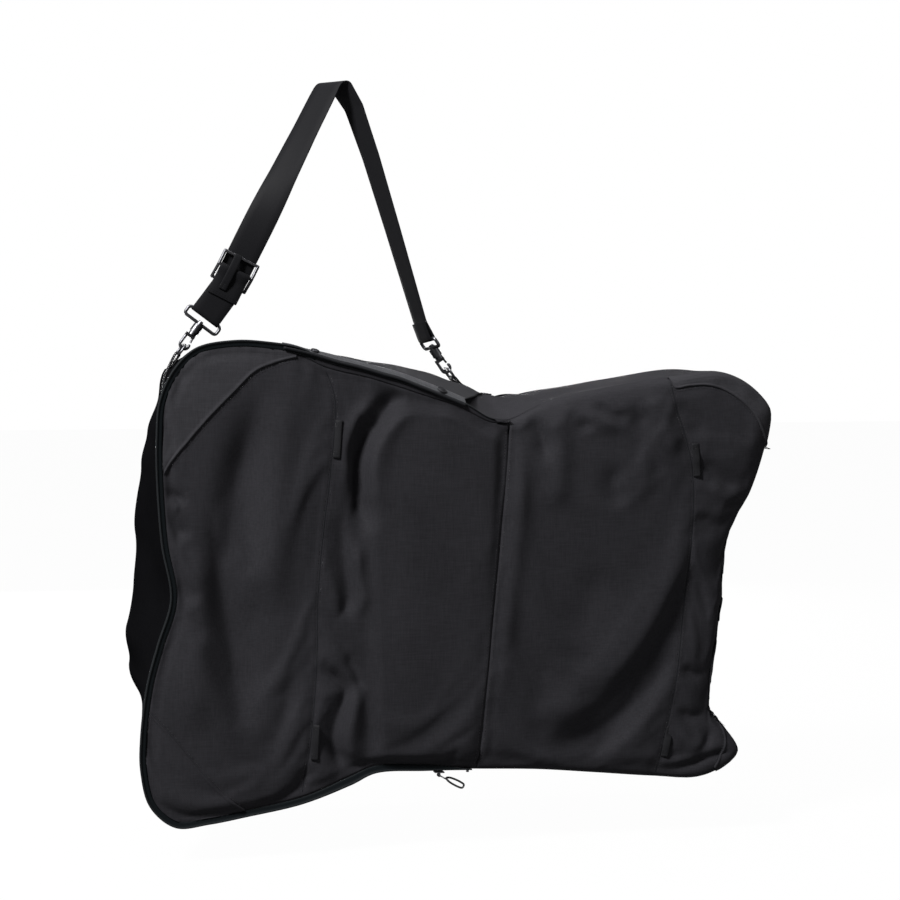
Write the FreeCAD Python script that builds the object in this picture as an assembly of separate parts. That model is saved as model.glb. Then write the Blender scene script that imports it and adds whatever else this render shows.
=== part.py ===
"""Large zipped travel bag that hangs from a clip-on shoulder strap.

Frame: X runs along the bag, Y runs away from the front panel, Z is up.
The origin is the middle of the bend at the crest of the strap, which is the
axis of whatever the bag is hung over. Lengths are in millimetres.
"""
import FreeCAD, Part

import math
import os

V = FreeCAD.Vector

# ---------------------------------------------------------------- bag shell
BAG_LENGTH = 824.0        # left end to right end
BAG_HEIGHT = 583.0        # top left corner to bottom left corner
DEPTH = 300.0             # front panel to back panel
PANEL = 3.0               # padded laminate of every panel
LEFT_X = -276.0
TOP_Z = -336.0
FRONT_Y = -150.0
CORNER_PATCH = 1.0        # second layer sewn over a corner
BINDING = 1.2             # bound seam round the back panel
BINDING_WIDTH = 10.0
REACH = 1400.0            # longer than the bag, for cutting tools

BACK_Y = FRONT_Y + DEPTH
RIGHT_X = LEFT_X + BAG_LENGTH
LOW_Z = TOP_Z - BAG_HEIGHT

# Front elevation as corners (x, z, corner radius). The right end keeps its
# shape when the bag gets longer, and the bottom when it gets taller.
BAG_OUTLINE = [
    (LEFT_X + 30.0, TOP_Z, 95.0),
    (-60.0, TOP_Z - 5.0, 150.0),
    (146.0, TOP_Z - 42.0, 120.0),
    (222.0, TOP_Z - 69.0, 60.0),
    (RIGHT_X, TOP_Z - 31.0, 62.0),
    (RIGHT_X - 10.0, TOP_Z - 134.0, 60.0),
    (RIGHT_X - 72.0, TOP_Z - 264.0, 90.0),
    (RIGHT_X - 90.0, LOW_Z + 127.0, 45.0),
    (RIGHT_X - 34.0, LOW_Z + 46.0, 12.0),
    (20.0, LOW_Z + 66.0, 40.0),
    (-70.0, LOW_Z + 31.0, 80.0),
    (LEFT_X, LOW_Z, 52.0),
    (LEFT_X + 46.0, TOP_Z - 298.0, 160.0),
]
GUSSET_SPLIT_HIGH = TOP_Z - 134.0     # where the top gusset is sewn to the ends
GUSSET_SPLIT_LOW = LOW_Z + 89.0

# Straight seams of the front, each through two points (x, z).
HINGE_SEAM = ((149.0, LOW_Z + 61.0), (192.0, TOP_Z - 90.0))
LEFT_SEAM = ((-69.0, LOW_Z + 29.0), (-28.0, TOP_Z - 4.0))
RIGHT_SEAM = ((RIGHT_X - 152.0, LOW_Z + 44.0), (RIGHT_X - 123.0, TOP_Z - 44.0))
BOTTOM_LINE = (BAG_OUTLINE[9][:2], BAG_OUTLINE[8][:2])
TOP_LEFT_PATCH = ((LEFT_X + 46.0, TOP_Z - 145.0), (-75.0, TOP_Z - 8.0))
BOTTOM_LEFT_PATCH = ((-139.0, LOW_Z + 20.0), (LEFT_X + 24.0, LOW_Z + 152.0))
TOP_RIGHT_PATCH = ((RIGHT_X - 147.0, TOP_Z - 47.0), (RIGHT_X - 15.0, TOP_Z - 119.0))
BOTTOM_RIGHT_PATCH = ((RIGHT_X - 77.0, LOW_Z + 147.0), (RIGHT_X - 79.0, LOW_Z + 45.0))
BOTTOM_RIGHT_LEVEL = ((RIGHT_X, LOW_Z + 113.0), (RIGHT_X - 150.0, LOW_Z + 113.0))

# Folded tabs caught in the two seams: upper end z and side of the seam.
LEFT_TABS = [(TOP_Z - 86.0, 1.0), (LOW_Z + 129.0, 1.0)]
RIGHT_TABS = [(TOP_Z - 120.0, 1.0), (LOW_Z + 107.0, 1.0)]
SEAM_TAB = (46.0, 8.0, 1.2)           # length, width, thickness
SEAM_TAB_SLANT = 4.0

# ------------------------------------------------------------ zip and cover
COVER_GAP = 0.5           # round the cover where it opens
TAPE_DEPTH = 4.0          # zip tape between gusset and coil
COIL_DEPTH = 2.0
COVER_TAPE_DEPTH = 1.4
CHAIN_GAP = 1.6           # slot between the two halves of the chain
TAPE_INSET = 0.6
COIL_INSET = 0.2
TAPE_THICKNESS = 1.6
COIL_THICKNESS = 2.4
ZIP_STOP = 3.0
ZIP_END_X = 136.0
SLIDER_X = 101.0
SLIDER_BODY = 12.0
SLIDER_PLATE = 1.4
SLIDER_CLEAR = 0.35
SLIDER_POST = 3.0
SLIDER_EDGE = 1.0         # inside the panel's face and the gusset's edge
POST_CLEAR = 0.3
BAIL_DROP = 3.4
BAIL_WIRE = 0.9
BAIL_FOOT = 1.4
BAIL_CLEAR = 0.3
PULLER = (15.0, 5.2, 1.4)             # length, width, thickness
PULLER_WALL = 0.8
PULLER_END = 3.0          # from the cord's hole to the end
PULL_CORD = 1.3
CORD_CLEAR = 0.2
PULL_LOOP = (26.0, 9.0)               # length, width
PULL_ANGLE = 28.0         # below level, pointing towards the hinge seam

# ------------------------------------------------------------------- flap
FLAP_HINGE_Y = -28.0
FLAP_THICKNESS = 2.5
FLAP_CLEAR = 0.5
FLAP_REAR = (-20.0, 250.0)            # along the hinge, from its origin
FLAP_FRONT = (-32.0, 196.0)
LIP_EDGE = ((-91.0, TOP_Z - 9.0), (133.0, TOP_Z - 65.0))
LIP_CLEAR = 2.2
LIP_TO_COVER = 5.0
LIP_BINDING = (3.0, 1.0)              # height, thickness
LIP_BAND = (7.0, 0.8)
HEADER_START_X = -120.0
SNAPS = [(-52.0, TOP_Z - 12.5, 4.8), (105.0, TOP_Z - 45.0, 6.0)]
SNAP_CAP = 2.4
SNAP_STUD = (3.4, 1.6)                # radius, height

# ------------------------------------------------------------------- strap
WEB_WIDTH = 40.0
WEB = 1.6                 # webbing thickness
CREST_RADIUS = 9.5
LAYER_GAP = 0.35
WRAP_GAP = 0.05           # webbing round a bar it is sewn to

# Where the wire of each ring bears in its hook, and the line of its pull.
LEFT_PIVOT = V(-192.0, 0.0, -332.0)
RIGHT_PIVOT = V(146.0, 0.0, -363.0)
LEFT_PULL = V(0.60, 0.0, 0.80)
RIGHT_PULL = V(-0.56, 0.0, 0.8285).normalize()

# The width of the webbing turns from the plane of the limbs towards Y.
LEFT_BEND = 90.0          # from the left pivot to where the limb straightens
LEFT_LIMB = [(0.33, 0.0), (0.43, 24.0), (0.55, 42.0), (0.78, 50.0)]
CREST = [
    (-63.0, V(-0.51, 0.82, 0.26)),
    (-36.0, V(-0.52, 0.84, 0.16)),
    (-12.0, V(-0.51, 0.86, 0.09)),
    (12.0, V(-0.50, 0.87, 0.02)),
    (38.0, V(-0.46, 0.89, -0.05)),
    (65.0, V(-0.40, 0.91, -0.11)),
]
RIGHT_LIMB = [(25.3, -31.4, 112.0), (47.2, -93.4, 110.0), (75.2, -183.8, 106.0),
              (111.3, -302.8, 101.0)]
RIGHT_EYE_TURN = 101.0

# -------------------------------------------------------------- snap hooks
RING_WIRE = 1.7
RING_HEIGHT = 14.0
RING_WIDTH = 30.0
RING_CORNER = 5.0
RING_CLEAR = 0.3
HOOK_WIRE = 1.9
HOOK_RADIUS = 5.75
HOOK_SLACK = 4.6          # ring wire to hook wire, centre to centre
HOOK_NOSE = 20.0          # degrees past level where the nose ends
HOOK_BLOCK = (10.0, 5.2, 12.0, 16.0)  # width, thickness, low and high level
GATE_CLEAR = 0.6
COLLAR = (5.0, 16.0, 19.9)            # radius, low and high level
BOSS = (6.2, 20.0, 31.0)
NECK = (4.2, 35.1)
STEM = 1.8
STEM_CLEAR = 0.1
STEM_HEAD = (3.0, 1.5)
HEAD_GAP = 0.3
EYE_WIRE = 2.1
EYE_LOWER = 33.0
EYE_UPPER = 45.0
EYE_SIDE = 4.0            # from the webbing's edge to the side wire's centre
EYE_CORNER = 4.0
GATE_PIVOT = (3.6, 13.8)
GATE_TIP = (4.6, 6.6)
GATE_WIRE = 1.3
GATE_EYELET = 1.9
GATE_SLOT = 2.9
GATE_THICKNESS = 2.4
PIN = 0.8
PIN_CLEAR = 0.06
ANCHOR_WIDTH = 19.0
ANCHOR_WEB = 1.5
SEWN_GAP = 0.1            # between sewn layers on a rounded face
LEFT_FOOT = (140.0, 160.0)            # round the top left corner, degrees
RIGHT_FOOT = (32.0, 60.0)             # along the slope, from the pivot's corner

# -------------------------------------------------------------- adjuster
ADJUSTER_UP = 23.0        # middle of the slider above the bend of the limb
ADJUSTER_REACH = 18.0     # middle bar to the outer bars
ADJUSTER_BAR = 2.0
ADJUSTER_SIDE = 3.0       # from the webbing's edge to the side wire's centre
HEM = 38.0                # sewn end below the middle bar
HEM_DROP = 12.0           # where the hem comes to lie on the layer behind it
HEM_BACK = 3.0            # the hem's sewn start behind the middle bar
TAB = (15.0, 46.0, 1.2)               # width, length, thickness
TAB_SIDE = -9.0
LEG_RUN = 17.0            # above an eye, where its two layers come together


# ------------------------------------------------------------------ helpers
def flat_point(x, z, y=0.0):
    return V(x, y, z)


def polygon_face(points):
    loop = [flat_point(x, z) for x, z in points]
    return Part.Face(Part.makePolygon(loop + loop[:1]))


def rounded_corner(corners, index):
    """Centre, start, middle and end of the arc that rounds a corner (x, z, radius)."""
    x, z, radius = corners[index]
    here = flat_point(x, z)
    back = (flat_point(*corners[index - 1][:2]) - here).normalize()
    ahead = (flat_point(*corners[(index + 1) % len(corners)][:2]) - here).normalize()
    half = back.getAngle(ahead) / 2.0
    run = radius / math.tan(half)
    inward = (back + ahead).normalize()
    centre = here + inward * (radius / math.sin(half))
    return centre, here + back * run, centre - inward * radius, here + ahead * run


def rounded_wire(corners):
    """Closed wire in the XZ plane through corners (x, z, radius)."""
    arcs = [rounded_corner(corners, index)[1:] for index in range(len(corners))]
    path = []
    for arc, following in zip(arcs, arcs[1:] + arcs[:1]):
        path.append(Part.Arc(*arc).toShape())
        path.append(Part.LineSegment(arc[2], following[0]).toShape())
    return Part.Wire(path)


def slab(face, y_low, y_high):
    """Solid between two depths over a face of the XZ plane."""
    moved = face.copy()
    moved.translate(V(0, y_low, 0))
    return moved.extrude(V(0, y_high - y_low, 0))


def side_of(line):
    """Large area on the left of a line that is walked from its first point."""
    a = flat_point(*line[0])
    b = flat_point(*line[1])
    along = (b - a).normalize()
    left = V(-along.z, 0, along.x) * REACH
    start = a - along * REACH
    end = b + along * REACH
    return polygon_face([(p.x, p.z) for p in (start, end, end + left, start + left)])


def backwards(line):
    return (line[1], line[0])


def shifted(line, dx=0.0, dz=0.0):
    return tuple((x + dx, z + dz) for x, z in line)


def height_on(line, x):
    (xa, za), (xb, zb) = line
    return za + (zb - za) * (x - xa) / (xb - xa)


def common(first, *others):
    shape = first
    for other in others:
        shape = shape.common(other)
    return shape


def fused(pieces):
    return pieces[0].fuse(pieces[1:]).removeSplitter()


def band(outline, inset, thickness, y_low, y_high):
    """Ring that follows the outline, from one inset to a deeper one."""
    outside = Part.Face(outline.makeOffset2D(-inset))
    inside = Part.Face(outline.makeOffset2D(-inset - thickness))
    return slab(outside.cut(inside), y_low, y_high)


def frame_at(origin, x_axis, z_axis):
    """Placement with the given local X and Z axes."""
    z_dir = V(z_axis).normalize()
    y_dir = z_dir.cross(x_axis).normalize()
    x_dir = y_dir.cross(z_dir)
    return FreeCAD.Placement(FreeCAD.Matrix(
        x_dir.x, y_dir.x, z_dir.x, origin.x,
        x_dir.y, y_dir.y, z_dir.y, origin.y,
        x_dir.z, y_dir.z, z_dir.z, origin.z,
        0, 0, 0, 1))


def placed(shape, frame):
    moved = shape.copy()
    moved.Placement = frame.multiply(moved.Placement)
    return moved


def rod(start, end, radius):
    return Part.makeCylinder(radius, (end - start).Length, start, end - start)


def tube(radius, bore, start, end):
    return rod(start, end, radius).cut(rod(start, end, bore))


def box(x_span, y_span, z_span):
    return Part.makeBox(x_span[1] - x_span[0], y_span[1] - y_span[0],
                        z_span[1] - z_span[0], V(x_span[0], y_span[0], z_span[0]))


def around(middle, width):
    return (middle - width / 2.0, middle + width / 2.0)


def wire_arc(centre, radius, wire, start, sweep):
    """Round wire bent in the local XZ plane; angles run from X towards Z."""
    bend = Part.makeTorus(radius, wire, V(0, 0, 0), V(0, 0, 1), -180, 180, sweep)
    bend.rotate(V(0, 0, 0), V(0, 0, 1), start)
    bend.rotate(V(0, 0, 0), V(1, 0, 0), 90)
    bend.translate(centre)
    return bend


def wire_frame(width, height, corner, wire):
    """Closed rounded rectangle of round wire, its low side on local z = 0."""
    half = width / 2.0
    reach = half - corner
    top = height - corner
    pieces = [
        rod(V(-reach, 0, 0), V(reach, 0, 0), wire),
        wire_arc(V(reach, 0, corner), corner, wire, 270, 90),
        rod(V(half, 0, corner), V(half, 0, top), wire),
        wire_arc(V(reach, 0, top), corner, wire, 0, 90),
        rod(V(reach, 0, height), V(-reach, 0, height), wire),
        wire_arc(V(-reach, 0, top), corner, wire, 90, 90),
        rod(V(-half, 0, top), V(-half, 0, corner), wire),
        wire_arc(V(-reach, 0, corner), corner, wire, 180, 90),
    ]
    return fused(pieces)


def ribbon(stations, thickness, width):
    """Strip lofted through stations (centre, width direction, direction of travel)."""
    sections = []
    for centre, across, travel in stations:
        side = across.normalize() * (width / 2.0)
        rise = travel.cross(across).normalize() * (thickness / 2.0)
        ring = [centre - side - rise, centre + side - rise,
                centre + side + rise, centre - side + rise]
        sections.append(Part.makePolygon(ring + ring[:1]))
    return Part.makeLoft(sections, True, True)


# --------------------------------------------------------------- bag shell
class BagShell:
    """Faces of the front elevation and depths that several pieces share."""

    def __init__(self):
        self.outline = rounded_wire(BAG_OUTLINE)
        self.outer = Part.Face(self.outline)
        lid_line = shifted(LIP_EDGE, dz=-LIP_TO_COVER)
        self.zipped = common(side_of(backwards(lid_line)), side_of(HINGE_SEAM))
        self.above_lid = common(side_of(lid_line), side_of(HINGE_SEAM))
        self.right_of_hinge = side_of(backwards(HINGE_SEAM))
        self.panel_back = FRONT_Y + PANEL
        self.chain_front = self.panel_back + COVER_TAPE_DEPTH + CHAIN_GAP
        self.tape_front = self.chain_front + COIL_DEPTH
        self.gusset_front = self.tape_front + TAPE_DEPTH


def gusset_blocks():
    """Four blocks that part the gusset ring near the bag's corners."""
    high = GUSSET_SPLIT_HIGH
    low = GUSSET_SPLIT_LOW
    areas = {
        "top_gusset": [(-REACH, high), (REACH, high), (REACH, 0.0), (-REACH, 0.0)],
        "bottom_gusset": [(-REACH, -REACH), (REACH, -REACH), (REACH, low), (-REACH, low)],
        "left_gusset": [(-REACH, low), (0.0, low), (0.0, high), (-REACH, high)],
        "right_gusset": [(0.0, low), (REACH, low), (REACH, high), (0.0, high)],
    }
    return {name: slab(polygon_face(ring), FRONT_Y, BACK_Y) for name, ring in areas.items()}


def seam_tabs(seam, tabs):
    """Small folded tabs caught in a seam, from (upper z, side) pairs."""
    length, width, thickness = SEAM_TAB
    (xa, za), (xb, zb) = seam
    pieces = []
    for upper, side in tabs:
        lower = upper - length
        x_upper = xa + (xb - xa) * (upper - za) / (zb - za)
        x_lower = xa + (xb - xa) * (lower - za) / (zb - za)
        ring = [(x_upper, upper), (x_upper + side * width, upper - SEAM_TAB_SLANT),
                (x_lower + side * width, lower + SEAM_TAB_SLANT), (x_lower, lower)]
        pieces.append(slab(polygon_face(ring), FRONT_Y - thickness, FRONT_Y))
    return Part.makeCompound(pieces)


def make_bag(shell, parts):
    inner = Part.Face(shell.outline.makeOffset2D(-PANEL))
    parts["back_panel"] = slab(shell.outer, BACK_Y - PANEL, BACK_Y)
    ring = slab(shell.outer.cut(inner), shell.panel_back, BACK_Y - PANEL)
    ring = ring.cut(slab(shell.zipped, FRONT_Y, shell.gusset_front))
    for name, block in gusset_blocks().items():
        parts[name] = ring.common(block)

    header_start = side_of(((HEADER_START_X, 0.0), (HEADER_START_X, -REACH)))
    beyond_right_seam = side_of(backwards(RIGHT_SEAM))
    fronts = {
        "front_header": common(shell.outer, shell.above_lid, header_start),
        "front_panel_right": common(shell.outer, shell.right_of_hinge).cut(beyond_right_seam),
        "front_panel_end": common(shell.outer, beyond_right_seam),
    }
    for name, face in fronts.items():
        parts[name] = slab(face, FRONT_Y, shell.panel_back)

    patches = {
        "corner_patch_top_right": [TOP_RIGHT_PATCH],
        "corner_patch_bottom_right": [BOTTOM_RIGHT_PATCH, BOTTOM_RIGHT_LEVEL],
    }
    for name, lines in patches.items():
        area = common(shell.outer, beyond_right_seam, *[side_of(line) for line in lines])
        parts[name] = slab(area, FRONT_Y - CORNER_PATCH, FRONT_Y)
    parts["seam_loops_right"] = seam_tabs(RIGHT_SEAM, RIGHT_TABS)

    bound = Part.Face(shell.outline.makeOffset2D(SEWN_GAP + BINDING))
    bound = bound.cut(Part.Face(shell.outline.makeOffset2D(SEWN_GAP)))
    parts["rear_binding"] = slab(bound, BACK_Y - BINDING_WIDTH, BACK_Y)

    radius, height = SNAP_STUD
    parts["snap_studs"] = Part.makeCompound([
        rod(flat_point(x, z, FRONT_Y - height), flat_point(x, z, FRONT_Y), radius)
        for x, z, _ in SNAPS])


def make_zip(shell, parts):
    zipped = slab(shell.zipped, FRONT_Y, shell.gusset_front)
    coil = band(shell.outline, COIL_INSET, COIL_THICKNESS, shell.chain_front, shell.tape_front)
    tape = band(shell.outline, TAPE_INSET, TAPE_THICKNESS, shell.tape_front, shell.gusset_front)
    parts["zip_coil"] = coil.common(zipped)
    parts["zip_tape"] = tape.common(zipped)
    z = height_on(BOTTOM_LINE, ZIP_END_X)
    depth = (shell.chain_front - CHAIN_GAP / 2.0, shell.tape_front)
    seat = box((ZIP_END_X, ZIP_END_X + ZIP_STOP), depth, (z - ZIP_STOP / 2.0, z + ZIP_STOP / 2.0))
    parts["zip_stop"] = seat.cut(coil)


def make_cover(shell, parts):
    """Front cover that unzips round its edge and swings about the hinge seam."""
    lid = shifted(LIP_EDGE, dz=-LIP_TO_COVER - COVER_GAP)
    hinge = shifted(HINGE_SEAM, dx=-COVER_GAP)
    face = common(shell.outer, side_of(backwards(lid)), side_of(hinge))
    left = side_of(LEFT_SEAM)
    back = shell.panel_back
    parts["cover_panel_left"] = slab(face.common(left), FRONT_Y, back)
    parts["cover_panel_centre"] = slab(face.cut(left), FRONT_Y, back)
    for name, line in [("corner_patch_top_left", TOP_LEFT_PATCH),
                       ("corner_patch_bottom_left", BOTTOM_LEFT_PATCH)]:
        parts[name] = slab(common(face, side_of(line)), FRONT_Y - CORNER_PATCH, FRONT_Y)
    parts["seam_loops_left"] = seam_tabs(LEFT_SEAM, LEFT_TABS)
    ring = band(shell.outline, TAPE_INSET, TAPE_THICKNESS, back, back + COVER_TAPE_DEPTH)
    parts["cover_zip_tape"] = ring.common(slab(face, back, back + COVER_TAPE_DEPTH))


def make_zip_slider(shell, parts):
    """Slider that runs along the bottom of the chain, with its puller and cord."""
    (xa, za), (xb, zb) = BOTTOM_LINE
    along = V(xb - xa, 0, zb - za).normalize()
    origin = flat_point(SLIDER_X, height_on(BOTTOM_LINE, SLIDER_X))
    frame = frame_at(origin, along, V(-along.z, 0, along.x))
    length = around(0.0, SLIDER_BODY)
    low = -SLIDER_CLEAR - SLIDER_PLATE
    high = COIL_INSET + COIL_THICKNESS + SLIDER_CLEAR
    mouth = shell.panel_back + COVER_TAPE_DEPTH
    wide = (FRONT_Y + SLIDER_EDGE, shell.gusset_front - SLIDER_EDGE)
    pieces = [
        box(length, wide, (low, -SLIDER_CLEAR)),
        box(length, (shell.panel_back + SLIDER_CLEAR, shell.tape_front), (high, high + SLIDER_PLATE)),
        box(around(0.0, SLIDER_POST), (mouth + POST_CLEAR, shell.chain_front - POST_CLEAR),
            (-SLIDER_CLEAR, high)),
    ]
    bail_z = low - BAIL_DROP
    for y in (wide[0], wide[1] - BAIL_FOOT):
        pieces.append(box(around(0.0, 2 * BAIL_WIRE), (y, y + BAIL_FOOT), (bail_z, low)))
        pieces.append(rod(V(0, y, bail_z), V(0, y + BAIL_FOOT, bail_z), BAIL_WIRE))
    pin_ends = [V(0, wide[0] + BAIL_FOOT, bail_z), V(0, wide[1] - BAIL_FOOT, bail_z)]
    pieces.append(rod(pin_ends[0], pin_ends[1], BAIL_WIRE))
    parts["zip_slider"] = placed(fused(pieces), frame)

    reach, width, thickness = PULLER
    middle = (wide[0] + wide[1]) / 2.0
    eyelet = [V(0, middle - width / 2.0, bail_z), V(0, middle + width / 2.0, bail_z)]
    bore = BAIL_WIRE + BAIL_CLEAR
    body = box((0.0, reach), around(middle, width), around(bail_z, thickness))
    body = body.fuse(rod(eyelet[0], eyelet[1], bore + PULLER_WALL))
    body = body.cut(rod(eyelet[0], eyelet[1], bore))
    hole_x = reach - PULLER_END
    hole = rod(V(hole_x, middle, bail_z - reach), V(hole_x, middle, bail_z + reach),
               PULL_CORD + CORD_CLEAR)
    length, height = PULL_LOOP
    loop = wire_frame(height, length, PULL_CORD + CORD_CLEAR + PULL_CORD, PULL_CORD)
    upright = frame_at(V(hole_x, middle, bail_z), V(0, 0, 1), V(1, 0, 0))
    swing = FreeCAD.Placement(V(0, 0, 0), FreeCAD.Rotation(V(0, 1, 0), PULL_ANGLE),
                              V(0, middle, bail_z))
    parts["zip_puller"] = placed(body.cut(hole), frame.multiply(swing))
    parts["pull_loop"] = placed(placed(loop, upright), frame.multiply(swing))


def make_flap(parts):
    """Flap over the end of the zip: a sloping top with a lip down the front."""
    (xa, za), (xb, zb) = BAG_OUTLINE[1][:2], BAG_OUTLINE[2][:2]
    along = V(xb - xa, 0, zb - za).normalize()
    up = V(-along.z, 0, along.x)
    frame = frame_at(flat_point(xa, za) + up * FLAP_CLEAR, along, up)
    lip_back = FRONT_Y - LIP_CLEAR
    lip_front = lip_back - FLAP_THICKNESS
    top = [(FLAP_REAR[0], FLAP_HINGE_Y), (FLAP_REAR[1], FLAP_HINGE_Y),
           (FLAP_FRONT[1], lip_front), (FLAP_FRONT[0], lip_front)]
    outline = Part.makePolygon([V(x, y, 0) for x, y in top + top[:1]])
    plate = placed(Part.Face(outline).extrude(V(0, 0, FLAP_THICKNESS)), frame)

    crest = [frame.multVec(V(x, 0, FLAP_THICKNESS / 2.0)) for x in FLAP_FRONT]
    lip_area = polygon_face([(crest[0].x, crest[0].z), (crest[1].x, crest[1].z),
                             LIP_EDGE[1], LIP_EDGE[0]])
    parts["flap_panel"] = fused([plate, slab(lip_area, lip_front, lip_back)])

    caps = [rod(flat_point(x, z, lip_front - SNAP_CAP), flat_point(x, z, lip_front), radius)
            for x, z, radius in SNAPS]
    parts["snap_caps"] = Part.makeCompound(caps)
    binding_height, binding_thickness = LIP_BINDING
    band_height, band_thickness = LIP_BAND
    fold = shifted(LIP_EDGE, dz=binding_height)
    binding = slab(common(lip_area, side_of(backwards(fold))), lip_front - binding_thickness,
                   lip_front)
    stiff = common(lip_area, side_of(fold), side_of(backwards(shifted(fold, dz=band_height))))
    parts["flap_edge_binding"] = binding.cut(caps)
    parts["flap_band"] = slab(stiff, lip_front - band_thickness, lip_front).cut(caps)


# ---------------------------------------------------------- strap hardware
class Clip:
    """Ring, swivelling snap hook and strap eye at one end of the strap.

    Locally Z runs up the pull from the bearing point of the ring's wire, X
    lies in the plane of the strap's limbs and Y across the bag.
    """

    def __init__(self, side, pivot, pull):
        self.side = side
        self.pull = pull
        self.frame = frame_at(pivot, V(pull.z, 0, -pull.x), pull)
        self.bar = self.frame.multVec(V(0, 0, -RING_HEIGHT))
        self.loop_z = HOOK_RADIUS - HOOK_SLACK

    def at(self, z):
        return self.frame.multVec(V(0, 0, z))

    def make_ring(self, parts):
        ring = wire_frame(RING_WIDTH, RING_HEIGHT, RING_CORNER, RING_WIRE)
        across = frame_at(V(0, 0, -RING_HEIGHT), V(0, 1, 0), V(0, 0, 1))
        parts[self.side + "_ring"] = placed(ring, self.frame.multiply(across))

    def make_hook(self, parts):
        width, thickness, low, high = HOOK_BLOCK
        centre = V(0, 0, self.loop_z)
        shank = V(-HOOK_RADIUS, 0, self.loop_z)
        nose = math.radians(HOOK_NOSE)
        tip = centre + V(math.cos(nose), 0, math.sin(nose)) * HOOK_RADIUS
        gate_room = box((HOOK_WIRE / 2.0, width), around(0.0, GATE_SLOT),
                        (low - GATE_CLEAR, high))
        pieces = [
            wire_arc(centre, HOOK_RADIUS, HOOK_WIRE, 180, 180 + HOOK_NOSE),
            Part.makeSphere(HOOK_WIRE, tip),
            rod(shank, V(-HOOK_RADIUS, 0, low + HOOK_WIRE), HOOK_WIRE),
            box((-HOOK_RADIUS - HOOK_WIRE, width / 2.0), around(0.0, thickness), (low, high)),
            Part.makeCylinder(COLLAR[0], COLLAR[2] - COLLAR[1], V(0, 0, COLLAR[1])),
            Part.makeCylinder(STEM, NECK[1] + HEAD_GAP - COLLAR[2], V(0, 0, COLLAR[2])),
            Part.makeCylinder(STEM_HEAD[0], STEM_HEAD[1], V(0, 0, NECK[1] + HEAD_GAP)),
        ]
        hook = fused(pieces).cut(gate_room)
        x, z = GATE_PIVOT
        pin = rod(V(x, -thickness / 2.0, z), V(x, thickness / 2.0, z), PIN)
        parts[self.side + "_hook"] = placed(hook.cut(pin), self.frame)
        parts[self.side + "_gate_pin"] = placed(pin, self.frame)

    def make_gate(self, parts):
        x, z = GATE_PIVOT
        pivot = V(x, 0, z)
        tip = V(GATE_TIP[0], 0, GATE_TIP[1])
        half = V(0, GATE_THICKNESS / 2.0, 0)
        bar = rod(pivot, tip, GATE_WIRE).common(box((0.0, 2 * x), around(0.0, GATE_THICKNESS),
                                                    (0.0, z)))
        gate = fused([rod(pivot - half, pivot + half, GATE_EYELET), bar])
        gate = gate.cut(rod(pivot - half, pivot + half, PIN + PIN_CLEAR))
        parts[self.side + "_gate"] = placed(gate, self.frame)

    def eye_frame(self, across):
        return frame_at(self.at(0), across, self.pull)

    def make_eye(self, parts, across):
        eye = wire_frame(WEB_WIDTH + 2 * EYE_SIDE, EYE_UPPER - EYE_LOWER, EYE_CORNER, EYE_WIRE)
        eye.translate(V(0, 0, EYE_LOWER))
        boss = Part.makeCylinder(BOSS[0], BOSS[2] - BOSS[1], V(0, 0, BOSS[1]))
        neck = Part.makeCylinder(NECK[0], NECK[1] - BOSS[2], V(0, 0, BOSS[2]))
        bore = Part.makeCylinder(STEM + STEM_CLEAR, NECK[1] - BOSS[1], V(0, 0, BOSS[1]))
        body = fused([eye, boss, neck]).cut(bore)
        parts[self.side + "_eye"] = placed(body, self.eye_frame(across))


def make_left_anchor(clip, parts):
    """Webbing tab from the left ring down onto the rounded top left corner."""
    radius = BAG_OUTLINE[0][2]
    centre = rounded_corner(BAG_OUTLINE, 0)[0]
    start, stop = [math.radians(angle) for angle in LEFT_FOOT]
    inner = RING_WIRE + RING_CLEAR
    outward = V(math.cos(start), 0, math.sin(start))
    tangent = V(outward.z, 0, -outward.x)
    foot = centre + outward * radius
    lift = (clip.bar - foot).dot(outward)
    run = (clip.bar - foot).dot(tangent)
    low = lift - inner - ANCHOR_WEB
    corners = [foot + outward * SEWN_GAP,
               foot + tangent * run + outward * low,
               foot + tangent * run + outward * (low + ANCHOR_WEB),
               foot + outward * (SEWN_GAP + ANCHOR_WEB)]
    half = V(0, ANCHOR_WIDTH / 2.0, 0)
    bar = tube(inner + ANCHOR_WEB, inner, clip.bar - half, clip.bar + half)
    strip = slab(polygon_face([(p.x, p.z) for p in corners]), -half.y, half.y)
    sector = [centre + V(math.cos(a), 0, math.sin(a)) * (2 * radius) for a in (start, stop)]
    wedge = slab(polygon_face([(centre.x, centre.z)] + [(p.x, p.z) for p in sector]),
                 -half.y, half.y)
    sewn = radius + SEWN_GAP
    sewn_foot = tube(sewn + ANCHOR_WEB, sewn, centre - half, centre + half).common(wedge)
    bore = rod(clip.bar - half, clip.bar + half, inner)
    parts["anchor_tab_left"] = fused([bar, strip.cut(bore), sewn_foot])


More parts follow.
